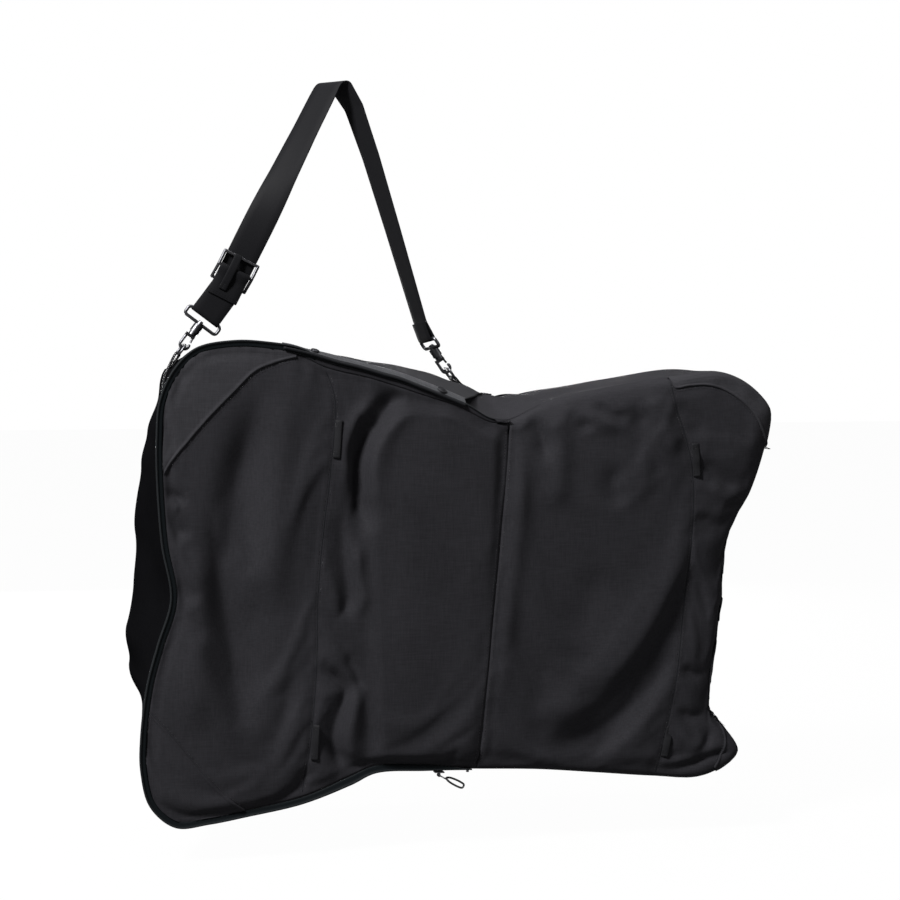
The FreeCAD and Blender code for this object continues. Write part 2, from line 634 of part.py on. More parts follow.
def make_right_anchor(clip, parts):
    """Webbing tab from the right ring down onto the sloping top."""
    xa, za = BAG_OUTLINE[2][:2]
    xb, zb = BAG_OUTLINE[3][:2]
    along = V(xb - xa, 0, zb - za).normalize()
    up = V(-along.z, 0, along.x)
    corner = flat_point(xa, za)
    inner = RING_WIRE + RING_CLEAR
    lift = (clip.bar - corner).dot(up)
    run = (clip.bar - corner).dot(along)
    half = V(0, ANCHOR_WIDTH / 2.0, 0)
    low = lift - inner - ANCHOR_WEB
    corners = [(run, low), (RIGHT_FOOT[0], 0.0), (RIGHT_FOOT[1], 0.0),
               (RIGHT_FOOT[1], ANCHOR_WEB), (RIGHT_FOOT[0], ANCHOR_WEB), (run, low + ANCHOR_WEB)]
    points = [corner + along * a + up * b for a, b in corners]
    strip = slab(polygon_face([(p.x, p.z) for p in points]), -half.y, half.y)
    bar = tube(inner + ANCHOR_WEB, inner, clip.bar - half, clip.bar + half)
    bore = rod(clip.bar - half, clip.bar + half, inner)
    parts["anchor_tab_right"] = fused([bar, strip.cut(bore)])


# ------------------------------------------------------------------- strap
def width_direction(travel, turn):
    """Width of the webbing, turned from the limbs' plane towards +Y by an angle."""
    outward = V(-travel.z, 0, travel.x)
    angle = math.radians(turn)
    return outward * math.cos(angle) + V(0, 1, 0) * math.sin(angle)


class StrapPath:
    """Frames along the strap that its layers and the adjuster share."""

    def __init__(self, left, right):
        self.left = left
        self.right = right
        self.bend = left.at(LEFT_BEND)
        self.crest = [self.crest_station(angle, across) for angle, across in CREST]
        self.limb = (self.crest[0][0] - self.bend).normalize()
        self.length = (self.crest[0][0] - self.bend).Length
        self.adjuster = frame_at(self.bend + self.limb * ADJUSTER_UP,
                                 width_direction(self.limb, 180.0), self.limb)
        self.left_eye = left.eye_frame(width_direction(LEFT_PULL, 180.0))
        self.right_eye = right.eye_frame(width_direction(RIGHT_PULL * -1, RIGHT_EYE_TURN))

    def crest_station(self, angle, across):
        turn = math.radians(angle)
        centre = V(math.sin(turn), 0, math.cos(turn) - 1.0) * CREST_RADIUS
        return (centre, across, V(math.cos(turn), 0, -math.sin(turn)))


def in_frame(frame, y, z):
    """Ribbon station across a frame's X, with travel along its Z."""
    turn = frame.Rotation
    return (frame.multVec(V(0, y, z)), turn.multVec(V(1, 0, 0)), turn.multVec(V(0, 0, 1)))


def half_wrap(frame, z, y, bar, thickness, width, x=0.0, above=False):
    """Half turn of webbing round a bar that runs along the frame's X."""
    inner = bar + WRAP_GAP
    half = width / 2.0
    ring = tube(inner + thickness, inner, V(x - half, y, z), V(x + half, y, z))
    room = 2 * (inner + thickness)
    level = (z, z + room) if above else (z - room, z)
    return placed(ring.common(box((x - half, x + half), (y - room, y + room), level)), frame)


def make_webbing(path, parts):
    """Webbing from the left eye over the crest to the right eye, and its ends."""
    wrap_y = EYE_WIRE + WRAP_GAP + WEB / 2.0
    behind = -(WEB + LAYER_GAP)
    left = path.left_eye
    mitre = (LEFT_PULL + path.limb).normalize()
    clear_z = EYE_UPPER + EYE_WIRE
    low_end = [in_frame(left, wrap_y, EYE_UPPER), in_frame(left, wrap_y, clear_z),
               in_frame(left, 0.0, EYE_UPPER + LEG_RUN)]
    bend = (path.bend, width_direction(mitre, 0.0) * -1, mitre)
    limb = [(path.bend + path.limb * (share * path.length),
             width_direction(path.limb, turn) * -1, path.limb) for share, turn in LEFT_LIMB]
    over = [(centre, across * -1, travel) for centre, across, travel in path.crest]

    points = [flat_point(x, z) for x, z, _ in RIGHT_LIMB]
    ends = points[1:] + [path.right.at(EYE_UPPER)]
    right = []
    before = path.crest[-1][2]
    for point, following, (_, _, turn) in zip(points, ends, RIGHT_LIMB):
        after = (following - point).normalize()
        travel = (before + after).normalize()
        right.append((point, width_direction(travel, turn) * -1, travel))
        before = after
    last = []
    for level in (clear_z, EYE_UPPER):
        centre, across, travel = in_frame(path.right_eye, -wrap_y, level)
        last.append((centre, across * -1, travel * -1))
    stations = low_end + [bend] + limb + over + right + last
    webbing = ribbon(stations, WEB, WEB_WIDTH)
    wraps = [half_wrap(path.left_eye, EYE_UPPER, 0.0, EYE_WIRE, WEB, WEB_WIDTH),
             half_wrap(path.right_eye, EYE_UPPER, 0.0, EYE_WIRE, WEB, WEB_WIDTH)]
    parts["strap_webbing"] = webbing.fuse(wraps)

    front = [in_frame(left, -wrap_y, EYE_UPPER), in_frame(left, -wrap_y, clear_z),
             in_frame(left, behind, EYE_UPPER + LEG_RUN),
             (path.bend + V(0, behind, 0), bend[1], mitre),
             in_frame(path.adjuster, behind, -HEM_BACK - LAYER_GAP)]
    parts["strap_lower_run"] = ribbon(front, WEB, WEB_WIDTH)

    seat = path.right_eye.inverse().multVec(points[-1])
    hem = [in_frame(path.right_eye, wrap_y, EYE_UPPER),
           in_frame(path.right_eye, wrap_y, clear_z),
           in_frame(path.right_eye, seat.y + WEB + 2 * LAYER_GAP, seat.z)]
    parts["strap_hem_right"] = ribbon(hem, WEB, WEB_WIDTH)


def make_adjuster(path, parts):
    """Three-bar slider on the left limb, with the sewn end and a pull tab."""
    tab_width, tab_length, tab_thickness = TAB
    face = WEB / 2.0 + LAYER_GAP
    bar = ADJUSTER_BAR
    top_y = -(face + tab_thickness + WRAP_GAP + bar)
    middle_y = -(face + WEB + WRAP_GAP + bar)
    low_y = face + bar
    half = WEB_WIDTH / 2.0 + ADJUSTER_SIDE
    levels = [(ADJUSTER_REACH, top_y), (0.0, middle_y), (-ADJUSTER_REACH, low_y)]
    pieces = []
    for z, y in levels:
        pieces.append(rod(V(-half, y, z), V(half, y, z), bar))
        pieces += [Part.makeSphere(bar, V(side * half, y, z)) for side in (-1, 1)]
    for (z_high, y_high), (z_low, y_low) in zip(levels, levels[1:]):
        for side in (-1, 1):
            pieces.append(rod(V(side * half, y_high, z_high), V(side * half, y_low, z_low), bar))
    frame = path.adjuster
    parts["slider_frame"] = placed(fused(pieces), frame)

    back_y = -(face + WEB / 2.0)
    front_y = middle_y - bar - WRAP_GAP - WEB / 2.0
    lying_y = back_y - WEB - LAYER_GAP
    hem = [
        half_wrap(frame, 0.0, middle_y, bar, WEB, WEB_WIDTH, above=True),
        ribbon([in_frame(frame, back_y, 0.0), in_frame(frame, back_y, -HEM_BACK)],
               WEB, WEB_WIDTH),
        ribbon([in_frame(frame, front_y, 0.0), in_frame(frame, front_y, -bar),
                in_frame(frame, lying_y, -HEM_DROP),
                in_frame(frame, lying_y, -HEM)], WEB, WEB_WIDTH),
    ]
    parts["slider_hem"] = fused(hem)

    wrap = tube(bar + WRAP_GAP + tab_thickness, bar + WRAP_GAP,
                V(TAB_SIDE - tab_width / 2.0, top_y, ADJUSTER_REACH),
                V(TAB_SIDE + tab_width / 2.0, top_y, ADJUSTER_REACH))
    shift = frame.multiply(FreeCAD.Placement(V(TAB_SIDE, 0, 0), FreeCAD.Rotation()))
    tab_y = top_y - bar - WRAP_GAP - tab_thickness / 2.0
    proud_y = front_y - (WEB + tab_thickness) / 2.0 - LAYER_GAP
    end_y = lying_y - (WEB + tab_thickness) / 2.0 - LAYER_GAP
    leg = ribbon([in_frame(shift, tab_y, ADJUSTER_REACH), in_frame(shift, proud_y, 2.0),
                  in_frame(shift, proud_y, -bar),
                  in_frame(shift, end_y, ADJUSTER_REACH - tab_length)],
                 tab_thickness, tab_width)
    parts["slider_pull_tab"] = fused([placed(wrap, frame), leg])


# -------------------------------------------------------------------- build
def build():
    parts = {}
    shell = BagShell()
    make_bag(shell, parts)
    make_zip(shell, parts)
    make_cover(shell, parts)
    make_zip_slider(shell, parts)
    make_flap(parts)
    left = Clip("left", LEFT_PIVOT, LEFT_PULL)
    right = Clip("right", RIGHT_PIVOT, RIGHT_PULL)
    path = StrapPath(left, right)
    for clip, across in ((left, width_direction(LEFT_PULL, 180.0)),
                         (right, width_direction(RIGHT_PULL * -1, RIGHT_EYE_TURN))):
        clip.make_ring(parts)
        clip.make_hook(parts)
        clip.make_gate(parts)
        clip.make_eye(parts, across)
    make_left_anchor(left, parts)
    make_right_anchor(right, parts)
    make_webbing(path, parts)
    make_adjuster(path, parts)
    return parts


os.makedirs("parts", exist_ok=True)
for name, shape in build().items():
    shape.exportStep("parts/" + name + ".step")
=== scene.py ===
"""Soft goods, hardware finishes, studio and camera of a hanging garment bag."""
import logging
import math
from dataclasses import dataclass, field
from enum import Enum
from typing import Callable, Optional, Sequence

import bpy
import numpy as np
from mathutils import Matrix, Vector
from mathutils.bvhtree import BVHTree


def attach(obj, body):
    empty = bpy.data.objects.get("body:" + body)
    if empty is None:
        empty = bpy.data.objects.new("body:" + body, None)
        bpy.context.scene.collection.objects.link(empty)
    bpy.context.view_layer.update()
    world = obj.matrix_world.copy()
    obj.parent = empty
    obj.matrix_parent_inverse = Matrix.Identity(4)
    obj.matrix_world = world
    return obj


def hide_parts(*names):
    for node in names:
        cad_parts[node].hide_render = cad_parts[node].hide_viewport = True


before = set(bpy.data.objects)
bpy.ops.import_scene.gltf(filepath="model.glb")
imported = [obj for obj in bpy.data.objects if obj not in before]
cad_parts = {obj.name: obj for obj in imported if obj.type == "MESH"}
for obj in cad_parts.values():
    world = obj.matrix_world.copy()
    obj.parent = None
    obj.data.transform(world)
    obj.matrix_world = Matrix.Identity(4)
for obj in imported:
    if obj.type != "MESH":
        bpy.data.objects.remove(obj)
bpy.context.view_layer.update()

LOG = logging.getLogger("garment_bag")
MM = 0.001
FRONT = -150.0            # plane of the front panel's edge, mm
BACK = 150.0              # plane of the back panel, mm
LEFT_END = -60.0          # left of this the gusset is dark cloth, darkened further as painted shade, mm
LEFT_FRONT = 2.4          # how far behind the front it starts there, mm
DARK_SHARE = 0.5          # elsewhere, share of the depth where it starts
FULL_INSET = 9.5          # inset at which the edge band has its full width, mm
LEAST_BAND = 0.08         # least share of its width that the band keeps
STRAP_WIDTH = 40.0        # mm
STRAP_THICKNESS = 1.6     # mm
PROBE_START = -400.0      # where rays towards the front start, mm
RIGHT_CORNER = 180.0      # right of this the front may bend back further, mm
DEEPEST = -140.0          # rearmost place that still counts as the front, mm
DEEPEST_CORNER = -100.0   # the same, right of RIGHT_CORNER
EDGE_STEPS = 24           # samples between two rows of the edge
FILLED = 13.0             # height above which the front's swelling is held back, mm
FILLED_MORE = 9.0         # most that it may rise further, mm
Pair = tuple[float, float]
Triple = tuple[float, float, float]


# ------------------------------------------------------------------ numbers
def smooth(value: np.ndarray) -> np.ndarray:
    """Smooth step from 0 to 1 of a value that is clamped to that range."""
    held = np.clip(value, 0.0, 1.0)
    return held * held * (3.0 - 2.0 * held)


def unit(rows: np.ndarray) -> np.ndarray:
    """Rows scaled to length one."""
    return rows / np.maximum(np.linalg.norm(rows, axis=-1, keepdims=True), 1e-9)


def spline(points: Sequence[Sequence[float]], closed: bool = False,
           steps: int = 24) -> np.ndarray:
    """Centripetal Catmull-Rom line through points of any dimension.

    Args:
        points: the points that the line passes through.
        closed: whether the line comes back to its first point.
        steps: samples between two neighbouring points.

    Returns:
        The samples, with the last point included on an open line.
    """
    p = np.array(points, float)
    if closed:
        p = np.vstack([p[-1], p, p[0], p[1]])
    else:
        p = np.vstack([2 * p[0] - p[1], p, 2 * p[-1] - p[-2]])
    made = []
    for a, b, c, d in zip(p, p[1:], p[2:], p[3:]):
        knots = [0.0]
        for start, end in ((a, b), (b, c), (c, d)):
            knots.append(knots[-1] + max(np.linalg.norm(end[:3] - start[:3]), 1e-6) ** 0.5)
        t0, t1, t2, t3 = knots
        t = np.linspace(t1, t2, steps, endpoint=False)[:, None]
        ab = (t1 - t) / (t1 - t0) * a + (t - t0) / (t1 - t0) * b
        bc = (t2 - t) / (t2 - t1) * b + (t - t1) / (t2 - t1) * c
        cd = (t3 - t) / (t3 - t2) * c + (t - t2) / (t3 - t2) * d
        abc = (t2 - t) / (t2 - t0) * ab + (t - t0) / (t2 - t0) * bc
        bcd = (t3 - t) / (t3 - t1) * bc + (t - t1) / (t3 - t1) * cd
        made.append((t2 - t) / (t2 - t1) * abc + (t - t1) / (t2 - t1) * bcd)
    if not closed:
        made.append(p[-2][None])
    return np.vstack(made)


def resample(line: np.ndarray, count: int, columns: int = 3) -> np.ndarray:
    """A line cut into a number of equal steps, measured on its first columns.

    Args:
        line: points, whose first two or three columns are the place.
        count: number of steps, one less than the points returned.
        columns: most columns that are the place.

    Returns:
        The evenly spaced points, with every column interpolated.
    """
    steps = np.linalg.norm(np.diff(line[:, :columns], axis=0), axis=1)
    run = np.concatenate([[0.0], np.cumsum(steps)])
    wanted = np.linspace(0.0, run[-1], count + 1)
    return np.stack([np.interp(wanted, run, line[:, k]) for k in range(line.shape[1])], 1)


def length_of(line: np.ndarray) -> float:
    """Length of a line of points."""
    return float(np.linalg.norm(np.diff(line, axis=0), axis=1).sum())


def coons(low: np.ndarray, high: np.ndarray, left: np.ndarray,
          right: np.ndarray) -> np.ndarray:
    """Sheet of points between four edge lines.

    Args:
        low: bottom edge, left to right.
        high: top edge, left to right.
        left: left edge, bottom to top.
        right: right edge, bottom to top.

    Returns:
        Points in an array of rows, columns and coordinates.
    """
    s = np.linspace(0.0, 1.0, len(low))[None, :, None]
    t = np.linspace(0.0, 1.0, len(left))[:, None, None]
    rise = (1 - t) * low[None] + t * high[None]
    across = (1 - s) * left[:, None] + s * right[:, None]
    corners = ((1 - s) * (1 - t) * low[0] + s * (1 - t) * low[-1]
               + (1 - s) * t * high[0] + s * t * high[-1])
    return rise + across - corners


def ripple(x: np.ndarray, z: np.ndarray, seed: int, reach: Pair, count: int = 7) -> np.ndarray:
    """Gentle uneven swelling between -1 and 1, from a few seeded waves.

    Args:
        x: first coordinate, mm.
        z: second coordinate, mm.
        seed: number that fixes the waves.
        reach: shortest and longest wave, mm.
        count: number of waves.

    Returns:
        The height at each point.
    """
    rng = np.random.default_rng(seed)
    total = np.zeros(np.shape(x))
    for _ in range(count):
        turn, phase = rng.uniform(0.0, math.tau, 2)
        wave = math.tau / rng.uniform(*reach)
        total += np.sin((x * math.cos(turn) + z * math.sin(turn)) * wave + phase)
    return total / count


# --------------------------------------------------------------- mesh pieces
def new_piece(name: str, points: np.ndarray, faces: Sequence[Sequence[int]],
              uvs: Optional[np.ndarray] = None) -> bpy.types.Object:
    """Makes a mesh object from points in millimetres.

    Args:
        name: name of the piece.
        points: rows of x, y and z, mm.
        faces: vertex numbers of each face.
        uvs: one pair per vertex, in metres, for a pattern that follows it.

    Returns:
        The linked object, shaded smooth.
    """
    mesh = bpy.data.meshes.new(name)
    mesh.from_pydata((np.asarray(points, float) * MM).tolist(), [], [list(f) for f in faces])
    mesh.validate()
    mesh.polygons.foreach_set("use_smooth", [True] * len(mesh.polygons))
    if uvs is not None:
        layer = mesh.uv_layers.new(name="flat")
        order = np.zeros(len(mesh.loops), np.int32)
        mesh.loops.foreach_get("vertex_index", order)
        layer.data.foreach_set("uv", np.asarray(uvs, float)[order].ravel())
    made = bpy.data.objects.new(name, mesh)
    bpy.context.scene.collection.objects.link(made)
    return made


def grid_faces(rows: int, columns: int, around: bool = False, start: int = 0,
               flip: bool = False) -> list[list[int]]:
    """Quads of a grid of points stored row by row.

    Args:
        rows: number of point rows.
        columns: number of points in a row.
        around: whether each row closes on itself.
        start: number of the grid's first vertex.
        flip: whether the faces point the other way.

    Returns:
        The faces.
    """
    faces = []
    last = columns if around else columns - 1
    for r in range(rows - 1):
        for c in range(last):
            d = (c + 1) % columns
            quad = [start + r * columns + c, start + r * columns + d,
                    start + (r + 1) * columns + d, start + (r + 1) * columns + c]
            faces.append(quad[::-1] if flip else quad)
    return faces


def pick(piece: bpy.types.Object) -> None:
    """Makes a piece the active one and the only one selected."""
    bpy.ops.object.select_all(action="DESELECT")
    bpy.context.view_layer.objects.active = piece
    piece.select_set(True)


def apply(piece: bpy.types.Object, kind: str, **settings: object) -> None:
    """Adds a modifier with its settings and applies it.

    Args:
        piece: the object.
        kind: type of the modifier.
        **settings: attributes of the modifier.
    """
    modifier = piece.modifiers.new(kind.lower(), kind)
    for key, value in settings.items():
        setattr(modifier, key, value)
    pick(piece)
    bpy.ops.object.modifier_apply(modifier=modifier.name)
    piece.select_set(False)


def face_towards(piece: bpy.types.Object, axis: int, sign: float) -> None:
    """Turns an open sheet's faces over if they look away from a direction.

    Args:
        piece: the sheet.
        axis: 0, 1 or 2 for x, y or z.
        sign: 1 to look along the axis, -1 to look against it.
    """
    if sum(p.normal[axis] * p.area for p in piece.data.polygons) * sign < 0:
        piece.data.flip_normals()


def sweep(name: str, centres: np.ndarray, across: np.ndarray, out: np.ndarray,
          section: Sequence[Pair], closed: bool = False) -> bpy.types.Object:
    """Sweeps a closed section along a line.

    Args:
        name: name of the piece.
        centres: points of the line, mm.
        across: direction of the section's first coordinate at each point.
        out: direction of its second coordinate.
        section: corners of the section, mm.
        closed: whether the line is a loop.

    Returns:
        The piece, with the run and the way round the section as its UV map.
    """
    shape = np.array(section, float)
    count, size = len(centres), len(shape)
    points = (centres[:, None] + across[:, None] * shape[None, :, :1]
              + out[:, None] * shape[None, :, 1:])
    run = np.concatenate([[0.0], np.cumsum(np.linalg.norm(np.diff(centres, axis=0), axis=1))])
    uvs = np.stack([np.repeat(run, size), np.tile(shape[:, 0], count)], 1) * MM
    faces = grid_faces(count, size, around=True)
    if closed:
        tail = (count - 1) * size
        for c in range(size):
            d = (c + 1) % size
            faces.append([tail + c, tail + d, d, c])
    else:
        faces.append(list(range(size))[::-1])
        faces.append([(count - 1) * size + c for c in range(size)])
    piece = new_piece(name, points.reshape(-1, 3), faces, uvs)
    pick(piece)
    bpy.ops.object.mode_set(mode="EDIT")
    bpy.ops.mesh.select_all(action="SELECT")
    bpy.ops.mesh.normals_make_consistent(inside=False)
    bpy.ops.object.mode_set(mode="OBJECT")
    piece.select_set(False)
    return piece


def flat_section(width: float, thickness: float, cup: float = 0.0) -> list[Pair]:
    """Section of a strap: two faces and rounded selvedges.

    Args:
        width: width of the strap, mm.
        thickness: its thickness, mm.
        cup: how far the middle of its faces stands out, mm.

    Returns:
        Corners of the section, anticlockwise.
    """
    half, deep = width / 2.0, thickness / 2.0
    inner = [half - deep * k for k in (0.15, 0.8)]
    stops = [-inner[0], -inner[1], -half * 0.5, 0.0, half * 0.5, inner[1], inner[0]]
    rise = [deep * 0.6, deep, deep + cup * 0.6, deep + cup, deep + cup * 0.6, deep, deep * 0.6]
    low = [(x, y - 2 * deep if abs(x) < inner[0] else -y) for x, y in zip(stops, rise)]
    high = [(x, y) for x, y in zip(stops, rise)]
    return low + [(half, 0.0)] + high[::-1] + [(-half, 0.0)]


def round_section(radius: float, sides: int = 12) -> list[Pair]:
    """Corners of a round section."""
    return [(radius * math.cos(math.tau * k / sides), radius * math.sin(math.tau * k / sides))
            for k in range(sides)]


class Skin:
    """Faces of finished pieces, which other pieces are laid on."""

    def __init__(self, pieces: Sequence[bpy.types.Object]) -> None:
        """Gathers the meshes.

        Args:
            pieces: objects at the origin.
        """
        points: list[Vector] = []
        faces: list[list[int]] = []
        for piece in pieces:
            start = len(points)
            points += [v.co.copy() for v in piece.data.vertices]
            faces += [[start + i for i in p.vertices] for p in piece.data.polygons]
        self.tree = BVHTree.FromPolygons(points, faces)

    def probe(self, start: Triple, way: Triple) -> tuple[Optional[np.ndarray], np.ndarray]:
        """First point met from a place along a direction.

        Args:
            start: place, mm.
            way: direction.

        Returns:
            The point in mm, or None, and the direction that faces the start.
        """
        hit, normal, _, _ = self.tree.ray_cast(Vector(start) * MM, Vector(way))
        if hit is None:
            return None, -np.array(way, float)
        if normal.dot(Vector(way)) > 0:
            normal = -normal
        return np.array(hit) / MM, np.array(normal)

    def front(self, path: np.ndarray) -> tuple[np.ndarray, np.ndarray]:
        """Places and normals on the front for a line of x and z.

        Args:
            path: rows of x and z, mm.

        Returns:
            Points and normals, with the plain front where nothing is met.
        """
        places, normals = [], []
        for x, z in path:
            place, normal = self.probe((x, PROBE_START, z), (0.0, 1.0, 0.0))
            deepest = DEEPEST if x < RIGHT_CORNER else DEEPEST_CORNER
            if place is None or place[1] > deepest:
                place, normal = np.array((x, FRONT, z)), np.array((0.0, -1.0, 0.0))
            places.append(place)
            normals.append(normal)
        return np.array(places), np.array(normals)


def laid_line(skin: Skin, path: np.ndarray, lift: float) -> tuple[np.ndarray, ...]:
    """Line laid on the front, with its directions.

    Args:
        skin: the faces it lies on.
        path: rows of x and z, mm.
        lift: height above the faces, mm.

    Returns:
        Centres, directions across the line and directions out of the faces.
    """
    places, normals = skin.front(path)
    smoothed = normals.copy()
    for _ in range(2):
        smoothed[1:-1] = (smoothed[:-2] + smoothed[1:-1] * 2 + smoothed[2:]) / 4
    normals = unit(smoothed)
    centres = places + normals * lift
    travel = unit(np.gradient(centres, axis=0))
    across = unit(np.cross(normals, travel))
    return centres, across, normals


# ------------------------------------------------------------------- shaders
class Signal:
    """Output socket whose arithmetic adds Math nodes."""

    def __init__(self, shader: "Shader", socket: bpy.types.NodeSocket) -> None:
        """Keeps the tree and the socket."""
        self.shader = shader
        self.socket = socket

    def _math(self, operation: str, first: object, second: object) -> "Signal":
        """Adds one Math node for two values or signals."""
        node = self.shader.node("ShaderNodeMath", {"operation": operation},
                                {0: first, 1: second})
        return Signal(self.shader, node.outputs[0])

    def __add__(self, other: object) -> "Signal":
        """Sum."""
        return self._math("ADD", self, other)

    def __radd__(self, other: object) -> "Signal":
        """Sum, with the signal second."""
        return self._math("ADD", other, self)

    def __sub__(self, other: object) -> "Signal":
        """Difference."""
        return self._math("SUBTRACT", self, other)

    def __rsub__(self, other: object) -> "Signal":
        """Difference, with the signal second."""
        return self._math("SUBTRACT", other, self)

    def __mul__(self, other: object) -> "Signal":
        """Product."""
        return self._math("MULTIPLY", self, other)

    def __rmul__(self, other: object) -> "Signal":
        """Product, with the signal second."""
        return self._math("MULTIPLY", other, self)

    def __pow__(self, other: object) -> "Signal":
        """Power."""
        return self._math("POWER", self, other)

    def most(self, other: object) -> "Signal":
        """The larger of two values."""
        return self._math("MAXIMUM", self, other)


class Space(Enum):
    """What a pattern's coordinates follow."""

    PLACE = "Object"
    CLOTH = "UV"


class Shader:
    """One node material and the calls that fill it."""

    def __init__(self, name: str) -> None:
        """Starts an empty material with its output and main shader."""
        self.material = bpy.data.materials.new(name)
        self.material.use_nodes = True
        self.tree = self.material.node_tree
        self.tree.nodes.clear()
        self.surface = self.node("ShaderNodeBsdfPrincipled", {}, {})
        self.output = self.node("ShaderNodeOutputMaterial", {}, {})
        self.tree.links.new(self.surface.outputs[0], self.output.inputs["Surface"])

    def node(self, kind: str, settings: dict, sockets: dict) -> bpy.types.Node:
        """Adds a node, sets it, then feeds its sockets.

        Args:
            kind: type of the node.
            settings: its attributes; "stops" are a ramp's positions and colours.
            sockets: value or signal of each input, by name or number.

        Returns:
            The node.
        """
        made = self.tree.nodes.new(kind)
        for key, value in settings.items():
            if key == "stops":
                ramp = made.color_ramp
                while len(ramp.elements) < len(value):
                    ramp.elements.new(0.5)
                for element, (position, colour) in zip(ramp.elements, value):
                    element.position = position
                    element.color = (*colour, 1.0)
            else:
                setattr(made, key, value)
        for key, value in sockets.items():
            self.feed(made.inputs[key], value)
        return made

    def feed(self, socket: bpy.types.NodeSocket, value: object) -> None:
        """Links a signal to a socket, or sets its value."""
        if isinstance(value, Signal):
            self.tree.links.new(value.socket, socket)
        elif isinstance(value, tuple) and len(value) == 3 and socket.type == "RGBA":
            socket.default_value = (*value, 1.0)
        else:
            socket.default_value = value

    def set(self, **values: object) -> None:
        """Feeds the main shader's sockets, named with _ for a space."""
        for key, value in values.items():
            self.feed(self.surface.inputs[key.replace("_", " ")], value)

    def place(self, space: Space, scale: Triple = (1.0, 1.0, 1.0),
              turn: Triple = (0.0, 0.0, 0.0)) -> Signal:
        """Coordinates of a pattern, scaled and turned."""
        coords = self.node("ShaderNodeTexCoord", {}, {})
        moved = self.node("ShaderNodeMapping", {}, {
            "Vector": Signal(self, coords.outputs[space.value]),
            "Scale": scale, "Rotation": turn})
        return Signal(self, moved.outputs[0])

    def noise(self, place: Signal, scale: float, detail: float = 2.0,
              rough: float = 0.5) -> Signal:
        """Soft noise between 0 and 1."""
        made = self.node("ShaderNodeTexNoise", {}, {
            "Vector": place, "Scale": scale, "Detail": detail, "Roughness": rough})
        return Signal(self, made.outputs[0])

    def wave(self, place: Signal, scale: float, axis: str, bend: float = 0.0) -> Signal:
        """Even bands between 0 and 1 along an axis."""
        made = self.node("ShaderNodeTexWave", {
            "wave_type": "BANDS", "bands_direction": axis, "wave_profile": "SIN"}, {
            "Vector": place, "Scale": scale, "Distortion": bend, "Detail Scale": 3.0})
        return Signal(self, made.outputs["Fac"])

    def span(self, value: Signal, low: float, high: float, start: float = 0.0,
             end: float = 1.0) -> Signal:
        """A value's range mapped to another, clamped."""
        made = self.node("ShaderNodeMapRange", {"clamp": True}, {
            "Value": value, "From Min": low, "From Max": high, "To Min": start, "To Max": end})
        return Signal(self, made.outputs[0])

    def mix(self, factor: object, first: object, second: object) -> Signal:
        """Colour between two colours."""
        made = self.node("ShaderNodeMix", {"data_type": "RGBA"}, {
            "Factor": factor, 6: first, 7: second})
        return Signal(self, made.outputs[2])

    def bump(self, height: Signal, distance: float, strength: float = 1.0) -> None:
        """Gives the surface a relief.

        Args:
            height: height between 0 and 1.
            distance: what a height of 1 stands for, mm.
            strength: how much of the relief is shown.
        """
        made = self.node("ShaderNodeBump", {}, {
            "Height": height, "Distance": distance * MM, "Strength": strength})
        self.set(Normal=Signal(self, made.outputs[0]))


def shade(colour: Triple, times: float) -> Triple:
    """A colour made lighter or darker."""
    return tuple(min(1.0, c * times) for c in colour)


@dataclass(frozen=True)
class WovenFinish:
    """Matt woven shell fabric with uneven yarns and a faint grid."""

    name: str
    colour: Triple
    pitch: float = 1.05       # mm between yarns
    rough: float = 0.78
    relief: float = 0.16      # mm
    streak: float = 0.34      # how far single yarns differ in shade
    space: Space = Space.PLACE
    sheen: float = 0.02
    shine: float = 0.05

    def make(self) -> bpy.types.Material:
        """Builds the material."""
        shader = Shader(self.name)
        place = shader.place(self.space)
        flat = (1.0, 1.0, 0.0) if self.space is Space.CLOTH else (1.0, 0.6, 1.0)
        axis = "Y" if self.space is Space.CLOTH else "Z"
        bands = 1.0 / (self.pitch * MM * 2.0 * math.pi) * 0.5
        warp = shader.wave(place, bands * 2.0, "X", 0.6)
        weft = shader.wave(place, bands * 2.0, axis, 0.6)
        weave = (warp * weft).most((1.0 - warp) * (1.0 - weft))
        long = (1.0, 1.0, 0.05) if axis == "Z" else (1.0, 0.05, 1.0)
        wide = (0.05, 0.5, 1.0) if axis == "Z" else (0.05, 1.0, 1.0)
        down = shader.noise(shader.place(self.space, long), 820.0, 2.0, 0.7)
        over = shader.noise(shader.place(self.space, wide), 820.0, 2.0, 0.7)
        patchy = shader.noise(shader.place(self.space, flat), 9.0, 3.0, 0.6)
        slub = shader.noise(place, 420.0, 2.0, 0.6)
        yarns = shader.span(down, 0.3, 0.7) * 0.5 + shader.span(over, 0.3, 0.7) * 0.5
        tone = yarns * 0.75 + shader.span(patchy, 0.3, 0.7) * 0.25
        dark, light = shade(self.colour, 1 - self.streak), shade(self.colour, 1 + self.streak)
        base = shader.mix(tone, dark, light)
        worn = shader.span(slub, 0.6, 0.85) * shader.span(weave, 0.55, 1.0)
        base = shader.mix(worn * 0.35, base, shade(self.colour, 2.1))
        shader.set(Base_Color=base, Roughness=self.rough - tone * 0.1)
        shader.set(Specular_IOR_Level=self.shine, Sheen_Weight=self.sheen, Sheen_Roughness=0.45)
        shader.bump(weave * 0.62 + yarns * 0.23 + slub * 0.15, self.relief)
        return shader.material


